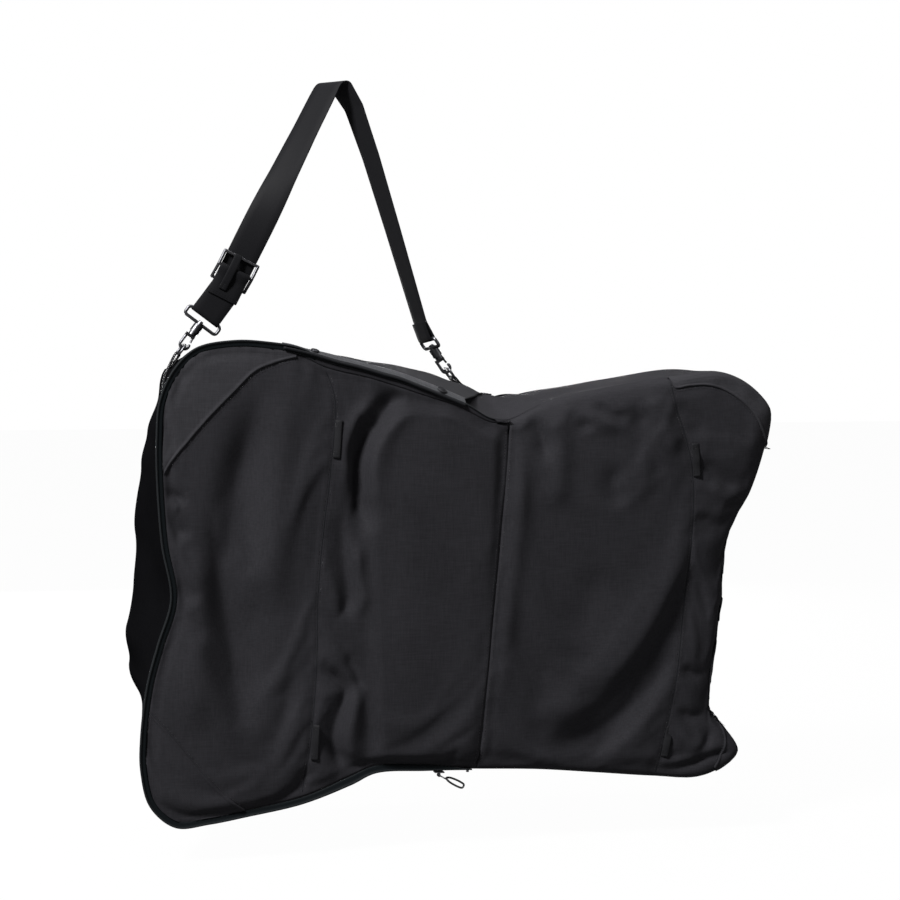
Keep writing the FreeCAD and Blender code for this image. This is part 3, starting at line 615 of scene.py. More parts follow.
@dataclass(frozen=True)
class WebbingFinish:
    """Smooth dense webbing with fine ribs along it."""

    name: str
    colour: Triple
    rib: float = 0.9          # mm
    rough: float = 0.5
    relief: float = 0.1
    space: Space = Space.CLOTH

    def make(self) -> bpy.types.Material:
        """Builds the material."""
        shader = Shader(self.name)
        place = shader.place(self.space)
        count = 1.0 / (self.rib * MM * 2.0 * math.pi)
        ribs = shader.wave(place, count, "Y" if self.space is Space.CLOTH else "X", 0.3)
        picks = shader.wave(place, count * 0.8, "X" if self.space is Space.CLOTH else "Z", 0.8)
        chevron = (ribs * picks).most((1.0 - ribs) * (1.0 - picks))
        fuzz = shader.noise(place, 600.0, 3.0, 0.7)
        drift = shader.noise(shader.place(self.space, (0.4, 1.0, 1.0)), 22.0, 2.0, 0.5)
        tone = chevron * 0.4 + shader.span(fuzz, 0.25, 0.75) * 0.35 + drift * 0.25
        base = shader.mix(tone, shade(self.colour, 0.68), shade(self.colour, 1.32))
        shader.set(Base_Color=base, Roughness=self.rough + fuzz * 0.12)
        shader.set(Specular_IOR_Level=0.06, Sheen_Weight=0.02, Sheen_Roughness=0.4)
        shader.bump(chevron * 0.75 + fuzz * 0.25, self.relief)
        return shader.material


@dataclass(frozen=True)
class MetalFinish:
    """Dark plated metal with a fine cast grain and rubbed high spots."""

    name: str
    colour: Triple
    rough: float = 0.34
    grain: float = 0.05       # mm
    bright: float = 1.7

    def make(self) -> bpy.types.Material:
        """Builds the material."""
        shader = Shader(self.name)
        place = shader.place(Space.PLACE)
        cloud = shader.noise(place, 160.0, 3.0, 0.6)
        fine = shader.noise(place, 1500.0, 2.0, 0.6)
        rubbed = shader.span(cloud, 0.52, 0.72)
        base = shader.mix(rubbed * 0.6, self.colour, shade(self.colour, self.bright))
        shader.set(Base_Color=base, Metallic=1.0)
        shader.set(Roughness=self.rough + shader.span(fine, 0.3, 0.7) * 0.12 - rubbed * 0.06)
        shader.bump(fine * 0.6 + cloud * 0.4, self.grain)
        return shader.material


@dataclass(frozen=True)
class ThreadFinish:
    """Twisted sewing thread or braided cord."""

    name: str
    colour: Triple
    twist: float = 0.5        # mm between turns
    rough: float = 0.5

    def make(self) -> bpy.types.Material:
        """Builds the material."""
        shader = Shader(self.name)
        place = shader.place(Space.PLACE, turn=(0.3, 0.7, 0.5))
        turns = shader.wave(place, 1.0 / (self.twist * MM * 2.0 * math.pi), "DIAGONAL", 1.0)
        fuzz = shader.noise(place, 900.0, 2.0, 0.6)
        base = shader.mix(turns * 0.6 + fuzz * 0.4, shade(self.colour, 0.6),
                          shade(self.colour, 1.4))
        shader.set(Base_Color=base, Roughness=self.rough, Sheen_Weight=0.05)
        shader.bump(turns * 0.7 + fuzz * 0.3, 0.08)
        return shader.material


@dataclass(frozen=True)
class StageFinish:
    """Grey floor under a white glow that only the camera and clear rays see."""

    name: str
    colour: Triple
    glow: float

    def make(self) -> bpy.types.Material:
        """Builds the material."""
        shader = Shader(self.name)
        place = shader.place(Space.PLACE)
        speck = shader.noise(place, 30.0, 3.0, 0.6)
        base = shader.mix(shader.span(speck, 0.3, 0.7) * 0.4, self.colour,
                          shade(self.colour, 0.97))
        shader.set(Base_Color=base, Roughness=0.9)
        path = shader.node("ShaderNodeLightPath", {}, {})
        seen = Signal(shader, path.outputs["Is Camera Ray"])
        seen = seen.most(Signal(shader, path.outputs["Is Transmission Ray"]))
        light = shader.node("ShaderNodeEmission", {}, {"Color": (1.0, 1.0, 1.0),
                                                       "Strength": 1.05})
        blend = shader.node("ShaderNodeMixShader", {}, {0: seen * self.glow})
        shader.tree.links.new(shader.surface.outputs[0], blend.inputs[1])
        shader.tree.links.new(light.outputs[0], blend.inputs[2])
        shader.tree.links.new(blend.outputs[0], shader.output.inputs["Surface"])
        return shader.material


class Finishes:
    """Every material of the bag, made once."""

    def __init__(self) -> None:
        """Builds them all."""
        self.shell = WovenFinish("shell_weave", (0.021, 0.0205, 0.0235)).make()
        # Top corner patches: lighter cloth as painted light, for patches that face up towards
        # the lamps above
        self.patch = WovenFinish("patch_weave", (0.029, 0.0285, 0.032)).make()
        # Gusset and back cloth: a darker cloth whose very low colour also stands in for shade
        # (painted shade)
        self.gusset = WovenFinish("gusset_painted_shade_weave", (0.0042, 0.0042, 0.0048), rough=0.8,
                                  relief=0.12, sheen=0.0, shine=0.0).make()
        self.flap = WovenFinish("flap_weave", (0.026, 0.026, 0.029), pitch=0.9).make()
        # Lip band: lighter cloth, made lighter still as painted highlight where it faces up into
        # the top light
        self.band = WovenFinish("lip_band_painted_highlight_weave", (0.062, 0.063, 0.068), pitch=0.8, rough=0.48,
                                space=Space.CLOTH).make()
        self.webbing = WebbingFinish("strap_webbing_weave", (0.0095, 0.0095, 0.0108)).make()
        self.tab = WebbingFinish("tab_webbing_weave", (0.014, 0.014, 0.0155), rib=0.8).make()
        self.tape = WebbingFinish("zip_tape_weave", (0.006, 0.0078, 0.009), rib=0.7,
                                  rough=0.44).make()
        self.piping = WebbingFinish("piping_weave", (0.014, 0.0155, 0.017), rib=0.6).make()
        self.dark_tape = WebbingFinish("binding_weave", (0.010, 0.0105, 0.012),
                                       rib=0.7).make()
        self.metal = MetalFinish("dark_plating", (0.14, 0.14, 0.15)).make()
        self.cap = MetalFinish("cap_plating", (0.05, 0.05, 0.055), rough=0.45).make()
        self.coil = ThreadFinish("coil_nylon", (0.020, 0.021, 0.024), 1.4, 0.35).make()
        self.thread = ThreadFinish("sewing_thread", (0.013, 0.013, 0.015), 0.4).make()
        self.cord = ThreadFinish("braided_cord", (0.012, 0.012, 0.013), 0.9).make()


def dress(piece: bpy.types.Object, material: bpy.types.Material) -> None:
    """Gives a piece one material."""
    piece.data.materials.clear()
    piece.data.materials.append(material)


def settle(piece: bpy.types.Object, body: str, material: bpy.types.Material,
           nodes: Sequence[str] = ()) -> None:
    """Dresses a piece and puts it on its body.

    Args:
        piece: the object.
        body: body that carries it.
        material: its finish.
        nodes: CAD nodes that it stands for.
    """
    dress(piece, material)
    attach(piece, body)
    if nodes:
        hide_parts(*nodes)
    LOG.info("%s: %d faces on %s", piece.name, len(piece.data.polygons), body)


# ------------------------------------------------------------- shape of bag
class Mark(Enum):
    """Corners and seam ends on the bag's edge."""

    NONE = 0
    TOP_LEFT = 1
    BOTTOM_LEFT = 2
    LEFT_SEAM_LOW = 3
    HINGE_SEAM_LOW = 4
    RIGHT_SEAM_LOW = 5
    BOTTOM_RIGHT = 6
    TOP_RIGHT = 7
    RIGHT_SEAM_HIGH = 8
    HINGE_SEAM_HIGH = 9
    LEFT_SEAM_HIGH = 10


@dataclass(frozen=True)
class Row:
    """One point of the bag's edge, mm: its place and what lies behind it."""

    x: float
    z: float
    mid: Pair                 # shift of the gusset half way back
    bend: float               # radius between front and gusset
    inset: float              # width of the band that frames the front
    mark: Mark = Mark.NONE


EDGE = [
    Row(-224, -360, (12, -2), 2.5, 7.2, Mark.TOP_LEFT),
    Row(-241, -397, (19, -3), 2.5, 7.2),
    Row(-245, -440, (9, -2), 2.5, 7.2),
    Row(-245, -485, (1, 0), 2.5, 7.2),
    Row(-239.5, -567, (-12, 0), 2.5, 7.2),
    Row(-229, -634, (-27, 0), 2.5, 7.2),
    Row(-245, -688, (-20, 0), 2.5, 7.2),
    Row(-258, -736, (-3, 0), 2.5, 7.2),
    Row(-266, -800, (30, 0), 2.5, 7.2),
    Row(-266, -839, (36, 0), 2.5, 7.2),
    Row(-255, -882, (34, 6), 2.5, 7.2, Mark.BOTTOM_LEFT),
    Row(-225, -908, (25, 10), 2.5, 7.2),
    Row(-185, -906, (0, 10), 2.5, 7.2),
    Row(-139, -899, (0, 10), 2.5, 7.2),
    Row(-70, -886.5, (0, 8), 2.5, 7.2, Mark.LEFT_SEAM_LOW),
    Row(-11, -866, (0, -8), 3, 9),
    Row(20, -853, (0, -12), 4, 8),
    Row(80, -853, (0, -8), 6, 7),
    Row(148, -856, (0, 0), 8, 0.4, Mark.HINGE_SEAM_LOW),
    Row(235.5, -861.5, (0, 0), 12, 0),
    Row(300, -868, (0, 2), 12, 0),
    Row(380, -876, (0, 4), 10, 0, Mark.RIGHT_SEAM_LOW),
    Row(440, -880, (-2, 6), 10, 0),
    Row(475, -868, (-8, 6), 12, 0),
    Row(494, -848, (-10, 5), 14, 0, Mark.BOTTOM_RIGHT),
    Row(478, -820, (-6, 0), 16, 0),
    Row(458, -798, (-4, 0), 18, 0),
    Row(455.5, -768, (0, 0), 20, 0),
    Row(463, -710, (0, 0), 22, 0),
    Row(472, -654, (0, 0), 22, 0),
    Row(476, -587, (0, 0), 22, 0),
    Row(492, -550, (0, 0), 22, 0),
    Row(510, -518, (0, 0), 22, 0),
    Row(535, -446, (0, 0), 22, 0),
    Row(537, -415, (0, 0), 22, 0, Mark.TOP_RIGHT),
    Row(520, -392, (0, 0), 22, 0),
    Row(495, -374, (0, 0), 22, 0),
    Row(462, -365, (0, 0), 20, 0),
    Row(398, -373, (0, 2), 18, 0, Mark.RIGHT_SEAM_HIGH),
    Row(332, -383, (0, 0), 18, 0),
    Row(254, -398, (0, 3), 18, 0),
    Row(225, -409, (0, 12), 16, 0),
    Row(191, -424, (0, 28), 14, 0.4, Mark.HINGE_SEAM_HIGH),
    Row(165, -421, (0, 37), 10, 4),
    Row(131, -402, (0, 28), 6, 6),
    Row(80, -385, (0, 25), 5, 6),
    Row(20, -366, (0, 16), 4, 6),
    Row(-40, -350, (0, 12), 3, 7, Mark.LEFT_SEAM_HIGH),
    Row(-70.9, -335, (0, 0), 2.5, 7.2),
    Row(-110, -328, (0, -6), 2.5, 7.2),
    Row(-152, -326, (0, -9), 2.5, 7.2),
    Row(-197.5, -335, (9.5, -8), 2.5, 7.2),
]

LEFT_SEAM = [(-69, -885), (-55, -733), (-51, -615), (-33, -450.5), (-29.5, -391), (-40, -350)]
HINGE_SEAM = [(149, -855), (162, -710), (175, -586), (186, -474), (191, -424)]
RIGHT_SEAM = [(380, -876), (407, -748), (422.5, -617), (426, -492), (405, -408), (398, -373)]


FOLD_DEPTH = 1.3         # scale of every crease and swelling


@dataclass(frozen=True)
class Fold:
    """A crease or a swelling of the front along a line, mm."""

    path: Sequence[Pair]
    height: float             # outwards; a valley is below zero
    left: float               # half width on the left of the line's travel
    right: float              # half width on its right
    sharp: float = 0.4
    fade: float = 0.22

    def relief(self, x: np.ndarray, z: np.ndarray) -> np.ndarray:
        """Height that the fold adds at points of the front.

        Args:
            x: across the bag, mm.
            z: up the bag, mm.

        Returns:
            The added height, mm.
        """
        line = spline(self.path, steps=6)
        steps = np.linalg.norm(np.diff(line, axis=0), axis=1)
        run = np.concatenate([[0.0], np.cumsum(steps)])
        best = np.full(x.shape, 1e9)
        side = np.zeros(x.shape)
        share = np.zeros(x.shape)
        for a, b, start, step in zip(line, line[1:], run, steps):
            way = (b - a) / max(step, 1e-6)
            dx, dz = x - a[0], z - a[1]
            along = np.clip(dx * way[0] + dz * way[1], 0.0, step)
            off = np.hypot(dx - along * way[0], dz - along * way[1])
            nearer = off < best
            best = np.where(nearer, off, best)
            side = np.where(nearer, way[0] * dz - way[1] * dx, side)
            share = np.where(nearer, (start + along) / run[-1], share)
        width = np.where(side > 0, self.left, self.right)
        profile = np.exp(-(best / width) ** (2.0 - self.sharp))
        ends = smooth(share / self.fade) * smooth((1.0 - share) / self.fade)
        return self.height * FOLD_DEPTH * profile * ends


FOLDS = [
    # left panel
    Fold([(-112, -366), (-126, -421), (-142, -479), (-154, -539), (-163, -599),
          (-161, -643), (-153, -708), (-144, -773), (-136, -849)], -14, 36, 22, 0.1, 0.25),
    Fold([(-96, -368), (-98, -430), (-104, -500), (-110, -580), (-108, -660)], 5, 22, 26, 0.0),
    Fold([(-190, -560), (-196, -640), (-200, -720), (-196, -800)], 5, 24, 22, 0.0),
    Fold([(-240, -500), (-226, -508), (-208, -520)], -5.5, 6, 9, 0.3, 0.4),
    Fold([(-238, -535), (-224, -545), (-206, -562)], -5, 7, 11, 0.3, 0.4),
    Fold([(-236, -515), (-218, -530)], 3.5, 8, 8, 0.0, 0.4),
    Fold([(-228, -610), (-214, -622), (-196, -640)], -4.5, 9, 14, 0.2, 0.4),
    Fold([(-224, -640), (-205, -660), (-190, -690)], -3.5, 10, 14, 0.2, 0.4),
    Fold([(-88, -700), (-96, -760), (-110, -830), (-128, -885)], -4, 16, 22, 0.2, 0.3),
    Fold([(-60, -840), (-80, -868), (-100, -890)], -3, 8, 12, 0.3, 0.3),
    # beside the left seam
    Fold([(71, -389), (50, -396), (30, -411), (15, -430), (3, -452), (-1, -471), (1, -502),
          (8, -542), (17, -562)], -13, 12, 17, 0.35, 0.2),
    Fold([(34, -388), (14, -400), (-4, -420), (-14, -448), (-16, -480), (-12, -512)],
         6, 10, 9, 0.2, 0.25),
    Fold([(20, -548), (14, -500), (20, -455), (44, -420), (80, -404)], 4, 8, 12, 0.2, 0.25),
    Fold([(-17, -512), (-21, -531), (-22, -551), (-19, -582), (-14, -620), (-13, -640),
          (-25, -657), (-50, -673)], -7, 9, 12, 0.3, 0.3),
    Fold([(-2, -560), (-4, -600), (2, -640), (-8, -664)], 5, 10, 10, 0.2, 0.3),
    Fold([(-52, -712), (-19, -748), (-27, -778), (-31, -806), (-26, -835), (-16, -856)],
         -8.5, 9, 12, 0.5, 0.2),
    Fold([(-4, -740), (-8, -775), (-12, -810), (-4, -845)], 5, 10, 9, 0.1, 0.25),
    Fold([(-20, -700), (-6, -722), (4, -752)], -4, 6, 9, 0.4, 0.3),
    # centre panel
    Fold([(0, -690), (12, -760), (14, -850)], -3, 14, 18, 0.1, 0.3),
    Fold([(90, -402), (118, -410), (170, -408)], 2.5, 10, 12, 0.0, 0.3),
    Fold([(60, -470), (64, -600), (58, -740), (60, -830)], 2.2, 30, 26, 0.0, 0.3),
    # right panel
    Fold([(170, -393), (197, -405), (218, -420), (229, -435), (235, -455), (233, -482)],
         -7, 8, 14, 0.3, 0.25),
    Fold([(212, -404), (240, -420), (252, -446), (252, -490), (244, -540)], 4, 16, 16, 0.1),
    Fold([(204, -440), (200, -520), (190, -620), (178, -720), (170, -800)], 5, 12, 18, 0.1),
    Fold([(262, -404), (280, -416), (292, -440)], -4, 9, 12, 0.3, 0.3),
    Fold([(228, -400), (271, -408), (314, -427), (345, -436)], 4.5, 10, 12, 0.2, 0.3),
    Fold([(296, -396), (318, -414), (346, -424)], -4, 8, 11, 0.3, 0.3),
    Fold([(346, -398), (366, -448), (393, -508)], -5, 12, 18, 0.2, 0.25),
    Fold([(362, -384), (386, -420), (410, -470)], 3.5, 12, 12, 0.1, 0.25),
    Fold([(330, -470), (322, -505), (334, -540)], -3.5, 12, 16, 0.2, 0.35),
    Fold([(425, -577), (419, -653), (373, -714), (307, -788), (238, -850)],
         -6.5, 30, 24, 0.1, 0.22),
    Fold([(380, -590), (372, -650), (330, -710), (268, -770), (214, -838)],
         7, 26, 24, 0.0, 0.25),
    Fold([(300, -600), (290, -650), (262, -700)], -3, 20, 24, 0.0, 0.35),
    Fold([(404, -700), (380, -750), (330, -800), (286, -862)], -4.5, 12, 22, 0.2, 0.25),
    Fold([(240, -690), (226, -760), (222, -850)], -2.5, 14, 18, 0.1, 0.3),
    Fold([(360, -873), (415, -865), (459, -851), (490, -846)], -7, 8, 6, 0.5, 0.2),
    Fold([(372, -862), (415, -852), (452, -832)], 4, 8, 8, 0.1, 0.25),
    Fold([(381, -852), (420, -848), (446, -836), (462, -806)], -5, 7, 9, 0.4, 0.25),
    # right end
    Fold([(430, -470), (462, -496), (500, -528)], -4, 14, 16, 0.2, 0.3),
    Fold([(432, -540), (452, -556), (486, -566)], -4, 10, 14, 0.3, 0.3),
    Fold([(446, -500), (470, -520), (500, -508)], 3.5, 10, 10, 0.0, 0.3),
    Fold([(428, -600), (444, -640), (448, -700), (440, -760)], -4, 9, 12, 0.3, 0.25),
    Fold([(412, -735), (436, -748), (462, -745)], -4.5, 7, 9, 0.4, 0.3),
    Fold([(404, -790), (428, -800), (462, -792)], -4, 7, 9, 0.4, 0.3),
    Fold([(398, -404), (424, -420), (440, -450)], -3, 9, 12, 0.3, 0.3),
]


@dataclass
class BagShape:
    """Surfaces that the bag's fabric pieces share."""

    rows: int = 150
    left_columns: int = 64
    centre_columns: int = 70
    right_columns: int = 66
    end_columns: int = 36
    depth_rows: int = 26
    back_inset: float = 22.0
    swell: float = 11.0

    def __post_init__(self) -> None:
        """Works out the edge loop and the seams."""
        table = [(r.x, r.z, r.mid[0], r.mid[1], r.bend, r.inset) for r in EDGE]
        flat = np.array(table, float)
        dense = self.spread(flat)
        starts = {r.mark: i * EDGE_STEPS for i, r in enumerate(EDGE) if r.mark is not Mark.NONE}
        total = len(dense)
        self.sides: dict[tuple[Mark, Mark], np.ndarray] = {}
        order = [
            (Mark.TOP_LEFT, Mark.BOTTOM_LEFT, self.rows),
            (Mark.BOTTOM_LEFT, Mark.LEFT_SEAM_LOW, self.left_columns),
            (Mark.LEFT_SEAM_LOW, Mark.HINGE_SEAM_LOW, self.centre_columns),
            (Mark.HINGE_SEAM_LOW, Mark.RIGHT_SEAM_LOW, self.right_columns),
            (Mark.RIGHT_SEAM_LOW, Mark.BOTTOM_RIGHT, self.end_columns),
            (Mark.BOTTOM_RIGHT, Mark.TOP_RIGHT, self.rows),
            (Mark.TOP_RIGHT, Mark.RIGHT_SEAM_HIGH, self.end_columns),
            (Mark.RIGHT_SEAM_HIGH, Mark.HINGE_SEAM_HIGH, self.right_columns),
            (Mark.HINGE_SEAM_HIGH, Mark.LEFT_SEAM_HIGH, self.centre_columns),
            (Mark.LEFT_SEAM_HIGH, Mark.TOP_LEFT, self.left_columns)]
        parts = []
        for first, last, count in order:
            a, b = starts[first], starts[last]
            if b <= a:
                b += total
            piece = dense[np.arange(a, b + 1) % total]
            cut = resample(piece, count, 2)
            self.sides[(first, last)] = cut
            parts.append(cut[:-1])
        self.loop = np.vstack(parts)
        place = self.loop[:, :2]
        travel = unit(np.roll(place, -2, 0) - np.roll(place, 2, 0))
        self.inward = np.stack([-travel[:, 1], travel[:, 0]], 1)
        self.inner = place + self.inward * self.loop[:, 5:6]
        self.left_seam = resample(spline(LEFT_SEAM), self.rows)
        self.hinge_seam = resample(spline(HINGE_SEAM), self.rows)
        self.right_seam = resample(spline(RIGHT_SEAM), self.rows)

    @staticmethod
    def spread(flat: np.ndarray) -> np.ndarray:
        """Spline through the edge's places, with the other columns in step."""
        place = spline(flat[:, :2], closed=True, steps=EDGE_STEPS)
        share = np.arange(len(place)) / EDGE_STEPS
        index = np.arange(len(flat) + 1)
        rest = []
        for k in range(2, flat.shape[1]):
            ring = np.append(flat[:, k], flat[0, k])
            near = np.floor(share).astype(int)
            part = smooth(share - near)
            rest.append(ring[near] * (1 - part) + ring[np.minimum(near + 1, index[-1])] * part)
        return np.hstack([place, np.stack(rest, 1)])

    def span_of(self, first: Mark, last: Mark, inset: bool) -> np.ndarray:
        """Places along one side of the edge loop.

        Args:
            first: mark where the side starts.
            last: mark where it ends.
            inset: whether it is the inner edge of the band.

        Returns:
            Rows of x and z.
        """
        start = 0
        for (a, b), side in self.sides.items():
            if (a, b) == (first, last):
                break
            start += len(side) - 1
        numbers = np.arange(start, start + len(self.sides[(first, last)])) % len(self.loop)
        return (self.inner if inset else self.loop[:, :2])[numbers]

    def patches(self) -> dict[str, np.ndarray]:
        """Sheets of x and z for the four panels of the front."""
        def tied(seam: np.ndarray, low: np.ndarray, high: np.ndarray) -> np.ndarray:
            """Seam with its two ends moved to the edge."""
            t = np.linspace(0.0, 1.0, len(seam))[:, None]
            return (seam + (low - seam[0]) * np.maximum(0, 1 - t * 8)
                    + (high - seam[-1]) * np.maximum(0, 1 - (1 - t) * 8))
        low_left = self.span_of(Mark.BOTTOM_LEFT, Mark.LEFT_SEAM_LOW, True)
        low_centre = self.span_of(Mark.LEFT_SEAM_LOW, Mark.HINGE_SEAM_LOW, True)
        low_right = self.span_of(Mark.HINGE_SEAM_LOW, Mark.RIGHT_SEAM_LOW, False)
        low_end = self.span_of(Mark.RIGHT_SEAM_LOW, Mark.BOTTOM_RIGHT, False)
        high_left = self.span_of(Mark.LEFT_SEAM_HIGH, Mark.TOP_LEFT, True)[::-1]
        high_centre = self.span_of(Mark.HINGE_SEAM_HIGH, Mark.LEFT_SEAM_HIGH, True)[::-1]
        high_right = self.span_of(Mark.RIGHT_SEAM_HIGH, Mark.HINGE_SEAM_HIGH, False)[::-1]
        high_end = self.span_of(Mark.TOP_RIGHT, Mark.RIGHT_SEAM_HIGH, False)[::-1]
        left = self.span_of(Mark.TOP_LEFT, Mark.BOTTOM_LEFT, True)[::-1]
        right = self.span_of(Mark.BOTTOM_RIGHT, Mark.TOP_RIGHT, False)
        one = tied(self.left_seam, low_left[-1], high_left[-1])
        two = tied(self.hinge_seam, low_centre[-1], high_centre[-1])
        outer_two = tied(self.hinge_seam, low_right[0], high_right[0])
        three = tied(self.right_seam, low_right[-1], high_right[-1])
        self.left_seam, self.hinge_seam, self.right_seam = one, outer_two, three
        return {"left": coons(low_left, high_left, left, one),
                "centre": coons(low_centre, high_centre, one, two),
                "right": coons(low_right, high_right, outer_two, three),
                "end": coons(low_end, high_end, three, right)}

    def edge_distance(self, x: np.ndarray, z: np.ndarray) -> tuple[np.ndarray, np.ndarray]:
        """Distance to the edge of the front and the nearest edge sample.

        Args:
            x: across the bag, mm.
            z: up the bag, mm.

        Returns:
            The distance and the number of the nearest sample.
        """
        flat = np.stack([x.ravel(), z.ravel()], 1)
        near = np.zeros(len(flat), int)
        far = np.zeros(len(flat))
        for start in range(0, len(flat), 4000):
            part = flat[start:start + 4000]
            gap = np.linalg.norm(part[:, None] - self.loop[None, :, :2], axis=2)
            near[start:start + 4000] = gap.argmin(1)
            far[start:start + 4000] = gap.min(1)
        return far.reshape(x.shape), near.reshape(x.shape)

    def relief(self, x: np.ndarray, z: np.ndarray, gap: np.ndarray) -> np.ndarray:
        """Height of the filled front above its flat panel.

        Args:
            x: across the bag, mm.
            z: up the bag, mm.
            gap: distance to the edge, mm.

        Returns:
            The height, mm.
        """
        height = self.swell * (1.0 - np.exp(-gap / 42.0))
        centre = smooth((x - 2 + (z + 640) * 0.03) / 24.0) * smooth(
            (183 - (z + 470) * -0.045 - x) / 16.0)
        centre *= smooth((-398 - z) / 18.0) * smooth((z + 872) / 22.0)
        height += centre * 6.0
        height *= smooth(gap / 26.0) * 0.75 + 0.25
        for seam, depth, width in ((self.left_seam, 3.5, 13.0), (self.hinge_seam, 6.0, 11.0),
                                   (self.right_seam, 3.0, 12.0)):
            off = np.abs(x - np.interp(z, seam[:, 1], seam[:, 0]))
            height -= depth * np.exp(-(off / width) ** 1.4)
            height -= 0.9 * np.exp(-(off / 1.6) ** 2)
        for fold in FOLDS:
            height += fold.relief(x, z)
        calm = smooth(gap / 18.0)
        height += calm * 1.5 * ripple(x, z, 11, (120.0, 260.0))
        height += calm * 0.7 * ripple(x, z * 0.55, 23, (30.0, 80.0), 9)
        held = FILLED + FILLED_MORE * np.tanh((height - FILLED) / FILLED_MORE)
        return np.where(height > FILLED, held, height)

    def front_sheet(self, sheet: np.ndarray, framed: bool) -> np.ndarray:
        """Points of a panel of the front in space.

        Args:
            sheet: rows and columns of x and z, mm.
            framed: whether the band frames it, so that its edge is not bent back.

        Returns:
            Rows and columns of x, y and z.
        """
        x, z = sheet[..., 0], sheet[..., 1]
        gap, near = self.edge_distance(x, z)
        height = self.relief(x, z, gap)
        if framed:
            rim = np.maximum(0.0, gap - self.loop[near, 5])
            height = height * smooth(rim / 16.0) + (smooth(rim / 2.0) - 1.0)
            y = FRONT - height
            open_bend = np.where(self.loop[near, 5] < 3.0, self.loop[near, 4], 0.0)
        else:
            y = FRONT - height * smooth(gap / 30.0)
            open_bend = self.loop[near, 4]
        held = np.clip(open_bend - gap, 0.0, None)
        y = y + open_bend - np.sqrt(np.maximum(open_bend ** 2 - held ** 2, 0.0))
        return np.stack([x, y, z], -1)

    def ring(self, share: float) -> np.ndarray:
        """Gusset loop at a share of the way from front to back.

        Args:
            share: 0 at the front edge, 1 at the back.

        Returns:
            Points round the bag, mm.
        """
        start = FRONT + self.loop[:, 4]
        y = start + (BACK - start) * share
        part = smooth((y - FRONT) / 135.0)[:, None]
        rear = (np.clip((y - 10.0) / 140.0, 0.0, 1.0) ** 1.6)[:, None]
        place = self.loop[:, :2] + self.loop[:, 2:4] * part
        place = place + self.inward * self.back_inset * rear
        run = np.arange(len(self.loop)) * 3.0
        calm = smooth(share / 0.15) * smooth((1.0 - share) / 0.12)
        wave = ripple(run, y * 1.0, 31, (70.0, 220.0), 8) * 3.2 * calm
        place = place + self.inward * np.maximum(wave, -1.2)[:, None]
        return np.stack([place[:, 0], y, place[:, 1]], 1)


@dataclass
class Slump:
    """Cloth simulation that gives a panel its own wrinkles."""

    frames: int = 26
    growth: float = 0.012     # how much larger the cloth is than its frame
    limit: float = 4.0        # most that a point may move, mm
    stride: int = 2

    def wrinkle(self, grid: np.ndarray, seams: Sequence[int]) -> np.ndarray:
        """Lets a panel's cloth hang in its seams.

        Args:
            grid: rows and columns of x, y and z, mm.
            seams: columns that are sewn down.

        Returns:
            The grid with the settled cloth's shape.
        """
        rows = np.unique(np.append(np.arange(0, grid.shape[0], self.stride), grid.shape[0] - 1))
        columns = np.unique(np.append(np.arange(0, grid.shape[1], self.stride),
                                      np.array([*seams, grid.shape[1] - 1])))
        coarse = grid[np.ix_(rows, columns)]
        height, width = coarse.shape[:2]
        held = np.zeros((height, width), bool)
        held[[0, -1]] = True
        held[:, [0, -1]] = True
        held[:, np.isin(columns, np.array(seams))] = True
        trial = new_piece("slump_trial", coarse.reshape(-1, 3), grid_faces(height, width))
        group = trial.vertex_groups.new(name="held")
        group.add(np.flatnonzero(held.ravel()).tolist(), 1.0, "REPLACE")
        cloth = trial.modifiers.new("cloth", "CLOTH")
        settings = cloth.settings
        settings.vertex_group_mass = "held"
        settings.quality = 6
        settings.mass = 0.35
        settings.tension_stiffness = 18.0
        settings.compression_stiffness = 18.0
        settings.shear_stiffness = 6.0
        settings.bending_stiffness = 0.35
        settings.shrink_min = -self.growth
        settings.air_damping = 2.0
        settings.effector_weights.gravity = 0.25
        cloth.collision_settings.use_collision = False
        scene = bpy.context.scene
        cloth.point_cache.frame_start = 1
        cloth.point_cache.frame_end = self.frames
        for number in range(1, self.frames + 1):
            scene.frame_set(number)
        settled = trial.evaluated_get(bpy.context.evaluated_depsgraph_get()).data
        found = np.zeros(len(settled.vertices) * 3)
        settled.vertices.foreach_get("co", found)
        moved = found.reshape(coarse.shape) / MM - coarse
        bpy.data.objects.remove(trial)
        scene.frame_set(1)
        size = np.linalg.norm(moved, axis=2, keepdims=True)
        moved *= self.limit * np.tanh(size / self.limit) / np.maximum(size, 1e-6)
        LOG.info("cloth moved %.1f mm at most, %.1f mm on average", size.max(), size.mean())
        return grid + self.spread(moved, rows, columns, grid.shape)

    @staticmethod
    def spread(moved: np.ndarray, rows: np.ndarray, columns: np.ndarray,
               shape: tuple[int, ...]) -> np.ndarray:
        """Smoothly fills the points between those that were simulated."""
        full = np.zeros(shape)
        all_rows, all_columns = np.arange(shape[0]), np.arange(shape[1])
        for k in range(3):
            across = np.stack([np.interp(all_columns, columns, line) for line in moved[..., k]])
            full[..., k] = np.stack([np.interp(all_rows, rows, line) for line in across.T]).T
        for _ in range(2):
            full[1:-1, 1:-1] = (full[1:-1, 1:-1] * 2 + full[:-2, 1:-1] + full[2:, 1:-1]
                                + full[1:-1, :-2] + full[1:-1, 2:]) / 6
        return full


